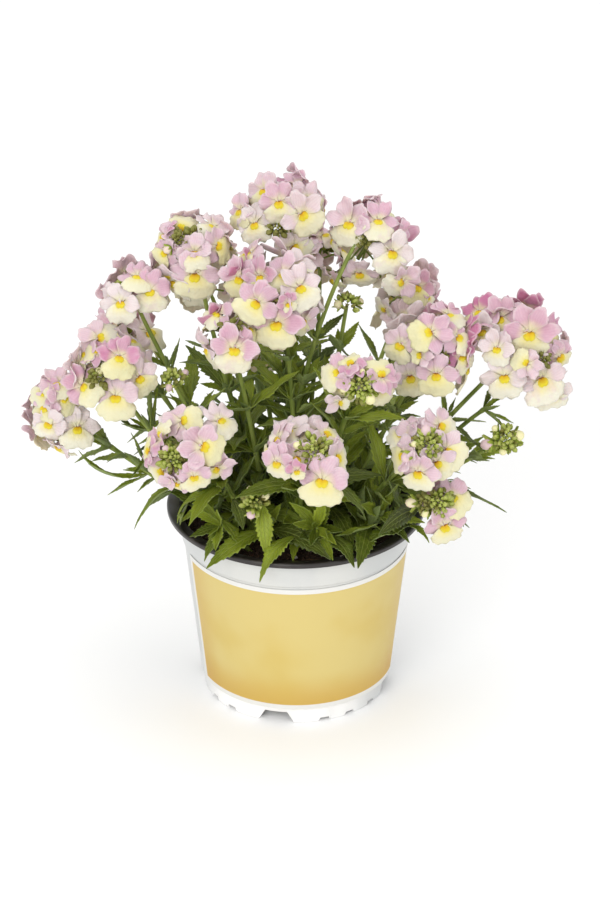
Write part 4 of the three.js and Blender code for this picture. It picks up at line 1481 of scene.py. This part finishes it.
def addLip(sheet, look, width, length, droop, notch, dice):
    across, along = discGrid(11, 13)
    across = np.sign(across) * np.abs(across) ** 0.93
    share = (along + 1) / 2
    rim = np.minimum(1, np.hypot(across, along))
    bearing = np.arctan2(across, along)
    lobes = 0.022 * np.cos(5 * bearing + dice.uniform(0, 6))
    lobes = lobes + 0.03 * np.sin(12 * bearing + dice.uniform(0, 6))
    edge = 1 + rim ** 6 * lobes - notch * np.exp(-((bearing / 0.28) ** 2)) * rim ** 4
    x = across * width / 2 * (0.52 + 0.48 * smooth(share / 0.45)) * edge
    y = 0.5 - share * length * edge
    z = 0.5 + 1.3 * np.sin(math.pi * np.clip(share * 1.25, 0, 1)) * (1 - across ** 2)
    z = z - droop * share ** 3 - across ** 2 * (0.5 + share) * dice.uniform(0.6, 1.4)
    waves = np.sin(7 * bearing + dice.uniform(0, 6)) + 0.6 * np.sin(4 * bearing + dice.uniform(0, 6))
    z = z + look["ruffle"] * 0.7 * rim ** 4 * waves
    grid = np.stack([x, y, z], -1)
    sheet.addSheet(grid[:, ::-1], look["lipThick"], across[:, ::-1], share[:, ::-1], (1, 0, dice.random()))


def addBoss(sheet, look, dice):
    across, along = discGrid(7, 7)
    rim = np.minimum(1, np.hypot(across, along))
    x = across * look["bossWidth"] / 2
    y = -along * look["bossLength"] / 2 - 2.0
    dome = 1 - rim ** 2
    z = 0.55 + look["bossHeight"] * dome * (1 - 0.35 * np.exp(-((x / 0.8) ** 2)))
    grid = np.stack([x, y, z], -1)
    sheet.addSheet(grid[:, ::-1], 0.3, across[:, ::-1], (along[:, ::-1] + 1) / 2, (0, 1, dice.random()))


def addNeck(sheet, look):
    turns = np.arange(8) * math.pi / 4
    rings = []
    for z, radius, drop in zip(*look["neck"]):
        x, y = radius * np.sin(turns), radius * np.cos(turns) - 0.4 - drop
        rings.append(np.stack([x, y, turns * 0 + z], -1))
    sheet.addTube(np.array(rings), (0, 0, 2))


def keepForm(kinds, form):  # in the collection alone, to be copied from there
    bpy.context.scene.collection.objects.unlink(form)
    kinds.objects.link(form)


def makeFlowerKinds(look):
    kinds = bpy.data.collections.new("flower kinds")
    for index in range(len(look["kinds"]) * look["twins"]):
        row = look["kinds"][index // look["twins"]]
        lipWidth, lipLength, droop, notch, length, width, back, upTurn, sideTurn = row
        dice = random.Random(40 + index)
        sheet = SheetMesh()
        for name, turn, front in (("sidePetals", sideTurn, 0), ("upPetals", upTurn, 0.4)):
            longer, wider = look[name]
            for hand in (-1, 1):
                size = (length * longer, width * wider)
                addPetal(sheet, look, turn * hand, *size, back, front + 0.2 * hand, dice)
        addLip(sheet, look, lipWidth, lipLength, droop, notch, dice)
        addBoss(sheet, look, dice)
        addNeck(sheet, look)
        keepForm(kinds, sheet.build(f"flower{index:02}"))
    return kinds


def turnedBy(ways, axis, angle):
    return np.array([list(Matrix.Rotation(angle, 3, Vector(axis)) @ Vector(way)) for way in ways])


def facesAt(plant, fromTip):  # the angle from the head's axis that a flower faces
    first, share = flowerLook["front" if plant["facing"] else "sides"]
    return math.radians(first) + share * fromTip


def shaken(ways, plant, dice):
    least, most, limit = flowerLook["upright"]
    _, high, face = ways
    level = unit(np.array((0, 0, 1)) - face * face[2])
    angle = math.degrees(math.atan2(np.cross(high, level).dot(face), high.dot(level)))
    roll = max(-limit, min(limit, angle)) * dice.uniform(least, most)
    ways = turnedBy(ways, face, math.radians(roll))
    nod, roll = (math.radians(flowerLook[name][plant["facing"]]) for name in ("nod", "roll"))
    for axis, most in ((0, nod), (1, nod), (2, roll)):
        ways = turnedBy(ways, ways[axis], dice.uniform(-most, most))
    return ways


def settle(plant, place, dice):
    # Turns the flower about its middle, as flowers stand in a head, each a little differently
    look = flowerLook
    axis = plant["axis"]
    right, _, face = place["ways"]
    facing = math.acos(np.clip(face.dot(axis), -1, 1))
    turn = (facesAt(plant, facing + plant["tilt"]) - facing) * look["obey"]
    place["ways"] = shaken(turnedBy(place["ways"], right, turn), plant, dice)
    out = place["at"] - plant["at"]
    out = unit(out - axis * out.dot(axis))
    adrift = look["adrift"][plant["facing"]]
    place["at"] = place["at"] + out * dice.uniform(-adrift, adrift) + axis * dice.uniform(-adrift, adrift)
    if plant["facing"]:
        early = 1 - place["index"] / plant["flowers"]
        everyone, inward, forward = look["inward"]
        inward = everyone + inward * early * dice.uniform(0.5, 1.4)
        place["at"] = place["at"] - out * inward + axis * forward * early


def seenFlower(plant, row, dice):  # a flower on the head's front, turned towards the camera
    right, up, lip, size, age, back = (*row, 0)[:6]
    reach = plant["reach"]
    forward = math.sqrt(max(reach ** 2 - right ** 2 - up ** 2, 0.04 * reach ** 2)) - back
    offset = np.array((right, up, forward)) @ seenWays
    share = np.interp(size, *flowerLook["faceOn"])
    face = unit(unit(offset) * share + seenWays[2] * (1 - share))
    lipWay = between(seenWays[0], seenWays[1], math.radians(lip))
    high = -unit(lipWay - face * lipWay.dot(face))
    ways = np.array([np.cross(high, face), high, face])
    for axis, most in zip((0, 1), np.radians(flowerLook["shaken"])):
        ways = turnedBy(ways, ways[axis], dice.uniform(-most, most))
    choices = (5, 1) if age > 0.8 else (0, 3) if size > 0.9 else (0, 1, 2, 3)
    kind = 4 if size < 0.7 else dice.choice(choices)
    offset = offset + (high * 2 - face * 1.5) * size
    return {
        "at": plant["at"] + offset + face * dice.uniform(*flowerLook["forward"]),
        "ways": ways,
        "size": size,
        "root": plant["at"] + plant["axis"] * reach * growth["neckHigh"] * dice.uniform(-0.3, 0.8),
        "index": 0,
        "age": age,
        "kind": kind,
    }


def arrange(plant):
    # The front's own flowers, and behind them the part's
    dice = random.Random(f"stand {plant['name']}")
    rows = seenFlowers.get(plant["name"])
    places = plant["places"]
    if rows is not None:
        limit = flowerLook["behind"][plant["facing"]] * plant["reach"]
        depths = [(place["at"] - plant["at"]).dot(seenWays[2]) for place in places]
        places = [place for place, depth in zip(places, depths) if rows and depth < limit]
    for place in places:
        settle(plant, place, dice)
    if rows is None:
        places += freshFlowers(plant, dice)
    plant["places"] = places + [seenFlower(plant, row, dice) for row in rows or []]


def freshFlowers(plant, dice):
    # The youngest flowers, between the open ones and the buds
    if not plant["flowers"]:
        return []
    look = flowerLook["fresh"]
    count, lowest, highest = look["front" if plant["facing"] else "sides"]
    places = []
    for index in range(min(count, plant["flowers"] - 1)):
        fromTip = math.radians(dice.uniform(lowest, highest))
        turn = plant["turn"] + (plant["flowers"] + index) * goldenAngle
        radial = between(plant["across"], plant["over"], turn)
        places.append({
            "at": plant["at"] + between(plant["axis"], radial, fromTip) * plant["reach"] * look["reach"],
            "ways": shaken(facingWays(plant, radial, facesAt(plant, fromTip)), plant, dice),
            "size": plant["size"] * look["size"],
            "root": neckRoot(plant, fromTip),
            "index": -1,
        })
    return places


def eulerOf(ways):
    return tuple(Matrix(ways.tolist()).transposed().to_euler())


def makeForms(name, spots, collection, material):
    # spots hold a point, three ways, a size, a form and a tone
    kinds = {"size": "FLOAT", "form": "INT", "tone": "FLOAT_VECTOR"}
    attributes = {label: (kind, [spot[label] for spot in spots]) for label, kind in kinds.items()}
    attributes["turn"] = ("FLOAT_VECTOR", [eulerOf(spot["ways"]) for spot in spots])
    source = newObject(name, [spot["at"] for spot in spots], attributes=attributes)
    return throughTree(name, source, forms, {"Forms": collection, "Material": material})


def kindOf(plant, age, dice):
    if age < 0.16:
        return 4
    if age > 0.8 and dice.random() < 0.7:
        return 5
    return dice.choice((0, 0, 1, 1, 3) if plant["facing"] else (0, 1, 2, 2, 3))


def makeFlowers(plant, kinds, material):
    dice = random.Random(f"flowers {plant['name']}")
    spots = []
    for place in plant["places"]:
        age = (place["index"] + 0.5) / plant["flowers"] * 0.7 + dice.uniform(-0.22, 0.38)
        age = np.clip(age, 0, 1)
        if place["index"] < 0:
            age = dice.uniform(0, 0.3)
        kind = kindOf(plant, age, dice)
        size = place["size"] * dice.uniform(*flowerLook["sizes"])
        if "age" in place:
            age, kind, size = place["age"], place["kind"], place["size"]
        spots.append({
            "at": place["at"],
            "ways": place["ways"],
            "size": size,
            "form": kind * flowerLook["twins"] + dice.randrange(flowerLook["twins"]),
            "tone": (age, dice.random(), dice.random() if age > 0 else 0),
        })
    piece = makeForms("flowers_" + plant["name"], spots, kinds, material)
    declare(piece, "petal", "head_" + plant["name"])


def paintPetal(graph):
    look = flowerLook
    across, along, under = graph.parts("spot")
    lip, boss, tube = graph.parts("mark")
    age, chance, other = graph.parts("tone")
    side = graph.maths("ABSOLUTE", across)
    rim = across * across + (along * 2 - 1) ** 2
    neck = graph.between(tube, 1.5, 1.9)
    cloud = graph.noise(170, 3)
    streak = graph.maths("SINE", across * 24 + cloud * 15) * 0.5 + 0.5
    pinkness = graph.between(age * 0.85 + cloud * 0.4 + other * 0.3 - 0.2, 0, 1)
    pinks = ((0, look["magenta"]), (0.12, look["young"]), (0.42, look["pink"]), (1, look["pale"]))
    upper = graph.ramp(pinkness, *pinks)
    # painted shade: the upper petals deeper towards their base and on their underside; the streaks are
    # their veins' own deeper colour
    shade = graph.between(along, 0.8, 0.3) * 0.22 + streak * 0.18 + under * 0.15
    upper = graph.blend(shade * (1 - age * 0.6), upper, look["deep"])
    upper = graph.blend(graph.between(rim, 0.5, 1) * 0.4, upper, look["pale"])
    upper = graph.blend(graph.between(along + cloud * 0.3, 0.68, 0.22) * 0.85, upper, look["lemon"])
    lower = graph.blend(graph.between(age * 0.7 + chance * 0.5, 0.1, 0.9), look["lemon"], look["cream"])
    glow = graph.between(along, 0.7, 0.15) * graph.between(side, 0.9, 0.1)
    lower = graph.blend(glow * 0.8, lower, look["flush"])
    blush = graph.between(chance, 0.72, 0.9) * graph.between(cloud, 0.45, 0.65) * 0.35 + under * 0.18
    lower = graph.blend(blush, lower, look["pink"])
    lower = graph.blend(streak * graph.between(along, 0.9, 0.3) * 0.1, lower, look["flush"])
    # the boss's yellow turns orange towards the throat, its own colour; the brown at the throat's end is
    # painted shade
    golds = ((0.1, look["throat"]), (0.24, look["orange"]), (0.62, look["yellow"]))
    knob = graph.ramp(along + side * 0.25, *golds)
    knob = graph.blend(graph.between(rim, 0.2, 0.62) * graph.between(along, 0.3, 0.6), knob, look["flush"])
    colour = graph.blend(lip, upper, lower)
    colour = graph.blend(boss, colour, knob)
    colour = graph.blend(neck, colour, look["tube"])
    return graph.surface(colour, 0.5 + cloud * 0.15, graph.noise(420, 3) + streak * 0.05, 0.6, 0.0009)


petalSoft = {
    "Subsurface Weight": 0.22,
    "Subsurface Radius": (1.0, 0.75, 0.65),
    "Subsurface Scale": 0.0012,
    "Specular IOR Level": 0.3,
    "Sheen Weight": 0.15,
}
petalMaterial = newMaterial("petal", paintPetal, petalSoft)

# Buds, calyces and their stalks

budLook = {
    "kinds": [  # rings of five-pointed forms 1 mm wide: heights and radii, depths and rises of the points
        [
            (0, 0.3, 0.75, 1.2, 1.5), (0.12, 0.36, 0.42, 0.3, 0.06),
            (0, 0.15, 0.4, 0.6, 0.6), (0, 0, 0.06, 0.22, 0.3),
        ],
        [
            (0, 0.18, 0.5, 0.62, 0.4), (0.15, 0.36, 0.56, 0.5, 0.1),
            (0, 0.1, 0.45, 0.5, 0), (0, 0, 0.12, 0.2, 0),
        ],
        [
            (0, 0.3, 0.6, 0.66, 0.35), (0.12, 0.3, 0.62, 0.5, 0.1),
            (0, 0.2, 0.75, 0.8, 0), (0, 0, 0.1, 0.12, 0),
        ],
    ],
    "ball": (0.46, 0.62, 1.1),  # radius, middle and stretch of the coloured bud in the second form
    "outwardCluster": (4.5, 6.2, 56, 4),  # height and spread in mm, buds, and how many are coloured
    "sideCluster": (4.5, 5.0, 30, 2),
    "endCluster": (6, 4.4, 26, 3),
    "frontCluster": 3.5,  # height in mm
    "backing": (2, 30),  # height and buds of a layer behind the large ones
    "backingDepth": 2.4,
    "large": 4,  # mm, from this radius on
    "forward": (0.5, 0.62),  # shares of the head's reach, of small and large ones
    "calyx": 5.2,  # mm wide, and so far behind its flower
    "calyxBack": 5.0,
    "coreHigh": 0.35,  # share of the head's reach
    "coreGirth": (1.0, 1.0, 0.9, 0.7),
    "stalkGirth": (0.6, 0.5, 0.5, 0.5, 0.65),
    **colours(
        green=(146, 160, 54), lightGreen=(198, 206, 112), darkGreen=(84, 94, 26),
        brown=(104, 82, 46), cream=(228, 222, 172), pink=(216, 190, 192),
    ),
}


def circle(turns, reach, height):
    return np.stack([reach * np.cos(turns), reach * np.sin(turns), turns * 0 + height], -1)


def addStar(sheet, rings, mark):
    turns = np.arange(10) * math.pi / 5
    points = np.cos(5 * turns)
    circles = [
        circle(turns, radius * (1 + depth * points), height + rise * points)
        for height, radius, depth, rise in zip(*rings)
    ]
    sheet.addTube(np.array(circles), mark)


def addBall(sheet, radius, middle, stretch, mark):
    turns = np.arange(8) * math.pi / 4
    circles = []
    for angle in np.linspace(0.12, math.pi - 0.12, 6):
        reach = radius * math.sin(angle) * (1 + 0.08 * np.cos(2 * turns))
        circles.append(circle(turns, reach, middle - radius * stretch * math.cos(angle)))
    sheet.addTube(np.array(circles), mark)


def makeBudKinds(look):
    # Closed green buds, coloured buds in their calyx, and the calyx under a flower
    kinds = bpy.data.collections.new("bud kinds")
    for index, rings in enumerate(look["kinds"]):
        sheet = SheetMesh()
        addStar(sheet, rings, (0, index / 2, 0))
        if index == 1:
            addBall(sheet, *look["ball"], (1, 0.5, 0))
        keepForm(kinds, sheet.build(f"bud{index}"))
    return kinds


def waysTowards(way, turn=0.0):
    third = unit(way)
    first = unit(np.cross(third, (0.31, 0.94, 0.12)))
    second = np.cross(third, first)
    return np.array([between(first, second, turn), between(second, -first, turn), third])


def clusterSpots(middle, ways, top, spread, count, opened, dice):
    # Green buds in a dome over the middle; the ways are two across it and one out of it
    spots = []
    for index in range(count):
        share = math.sqrt((index + 0.5) / count)
        radial = between(ways[0], ways[1], index * goldenAngle + dice.uniform(-0.3, 0.3))
        way = between(ways[2], radial, share * 1.2 + dice.uniform(-0.2, 0.2))
        lift = top * (1 - share ** 2) + dice.uniform(-0.5, 0.5)
        at = middle + ways[2] * lift + radial * spread * share * dice.uniform(0.8, 1.05)
        bloom = index >= count - opened
        size = (1.5 + 0.9 * share) * dice.uniform(0.8, 1.25)
        if bloom:
            at = at + ways[2] * 2
            size = dice.uniform(3.6, 4.8)
        spots.append({
            "at": at,
            "ways": waysTowards(way, dice.uniform(0, 6)),
            "size": size,
            "form": 1 if bloom else 0,
            "tone": (share, dice.random(), dice.random() if spread > 4 else 1),
        })
    return spots


def seenBudSpots(plant, dice):
    look = budLook
    reach = plant["reach"]
    clusters, buds = seenBuds[plant["name"]]
    spots = []
    for right, up, radius in clusters:
        large = radius > look["large"]
        middle = plant["at"] + np.array((right, up, look["forward"][large] * reach)) @ seenWays
        count = int(12 + radius ** 2 * 1.1)
        spots += clusterSpots(middle, seenWays, look["frontCluster"], radius, count, 0, dice)
        if large:
            height, count = look["backing"]
            behind = middle - seenWays[2] * look["backingDepth"]
            spots += clusterSpots(behind, seenWays, height, radius * 1.1, count, 0, dice)
    for right, up, width, pink in buds:
        way = unit(np.array((right - clusters[0][0], up - clusters[0][1], 3)) @ seenWays)
        spots.append({
            "at": plant["at"] + np.array((right, up, look["forward"][1] * reach + 2)) @ seenWays
            - way * width * 0.75,
            "ways": waysTowards(way, dice.uniform(0, 6)),
            "size": width / 0.92,
            "form": 1,
            "tone": (1, pink, 0.3),
        })
    return spots


def makeGreens(plant, kinds, stemMaterial, budMaterial):
    dice = random.Random(f"greens {plant['name']}")
    look = budLook
    high = look["coreHigh"] * plant["reach"]
    axis = plant["axis"]
    start = plant["at"] - axis * plant["reach"] * growth["intoHead"]
    middle = np.array([start - axis * 2, start, plant["at"], plant["at"] + axis * high])
    paths = [(middle, np.array(look["coreGirth"]))]
    spots = []
    for place in plant["places"]:
        _, up, back = place["ways"]
        foot = place["at"] - (back * look["calyxBack"] + up) * place["size"]
        bend = np.array([place["root"], (place["root"] + foot) / 2 + axis * 0.8, foot])
        paths.append((curvePoint(bend, np.linspace(0, 1, 5)), np.array(look["stalkGirth"])))
        spots.append({
            "at": foot - back * 0.4,
            "ways": waysTowards(back, dice.uniform(0, 6)),
            "size": look["calyx"] * place["size"],
            "form": 2,
            "tone": (1, dice.random(), dice.random()),
        })
    if plant["name"] in seenBuds:
        spots += seenBudSpots(plant, dice)
    else:
        ways = (plant["across"], plant["over"], axis)
        cluster = look["outwardCluster" if plant["facing"] else "sideCluster"]
        spots += clusterSpots(plant["at"] + axis * high, ways, *cluster, dice)
    stalks = makeTubes("stalks", paths, 6, stemMaterial)
    buds = makeForms("buds", spots, kinds, budMaterial)
    return [stalks, buds]


def paintBud(graph):
    look = budLook
    _, along, _ = graph.parts("spot")
    bloom, _, _ = graph.parts("mark")
    share, second, third = graph.parts("tone")
    cloud = graph.noise(300, 3)
    depth = graph.between(cloud * 0.3 + along * 0.7 + (1 - share) * 0.3 + second * 0.2, 0.25, 1.05)
    green = graph.ramp(depth, (0, look["darkGreen"]), (0.5, look["green"]), (1, look["lightGreen"]))
    green = graph.blend(graph.between(third + share * 0.3, 0.75, 1.1) * 0.6, green, look["brown"])
    petal = graph.blend(graph.between(second + cloud * 0.3, 0.4, 1), look["cream"], look["pink"])
    petal = graph.blend(graph.between(along, 0.4, 0.0), petal, look["lightGreen"])
    colour = graph.blend(bloom, green, petal)
    return graph.surface(colour, 0.5 + cloud * 0.15, cloud + graph.noise(1500, 2) * 0.5, 0.35, 0.0003)


budMaterial = newMaterial("bud and calyx", paintBud, {**soft, "Specular IOR Level": 0.35})

flowerKinds = makeFlowerKinds(flowerLook)
budKinds = makeBudKinds(budLook)
for plant in plants:
    name = plant["name"]
    arrange(plant)
    if name in leaning:
        leanForward(plant)
    made = makeFoliage(plant, leafGreen, stemGreen)
    if plant["flowers"]:
        declare(joined("foliage_" + name, made), "leaf", "stem_" + name)
        greens = makeGreens(plant, budKinds, stemGreen, budMaterial)
        declare(joined("buds_" + name, greens), "leaf", "head_" + name)
        if plant["places"]:
            makeFlowers(plant, flowerKinds, petalMaterial)
    else:
        if plant["buds"]:
            dice = random.Random(f"end {name}")
            ways = (plant["across"], plant["over"], plant["axis"])
            spots = clusterSpots(plant["at"] - plant["axis"], ways, *budLook["endCluster"], dice)
            made.append(makeForms("end buds", spots, budKinds, budMaterial))
        declare(joined("foliage_" + name, made), "leaf", "shoot_" + name)
dropForms(flowerKinds)
dropForms(budKinds)
print("plant made")

# Floor, and the count of triangles shown

floorLook = colours(pale=(250, 250, 250), warm=(247, 247, 246))


def paintFloor(graph):
    cloud = graph.noise(1.5, 2)
    colour = graph.blend(cloud, floorLook["pale"], floorLook["warm"])
    return {"Base Color": colour, "Roughness": 0.8 + cloud * 0.1}


half = studio["floorSize"] / mm / 2
corners = [(-half, -half, 0), (half, -half, 0), (half, half, 0), (-half, half, 0)]
floorMaterial = newMaterial("pale floor", paintFloor, {})
newObject("floor", corners, [(0, 1, 2, 3)], material=floorMaterial)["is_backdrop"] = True

triangles = sum(len(face.vertices) - 2 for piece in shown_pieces() for face in piece.data.polygons)
print("triangles:", triangles)
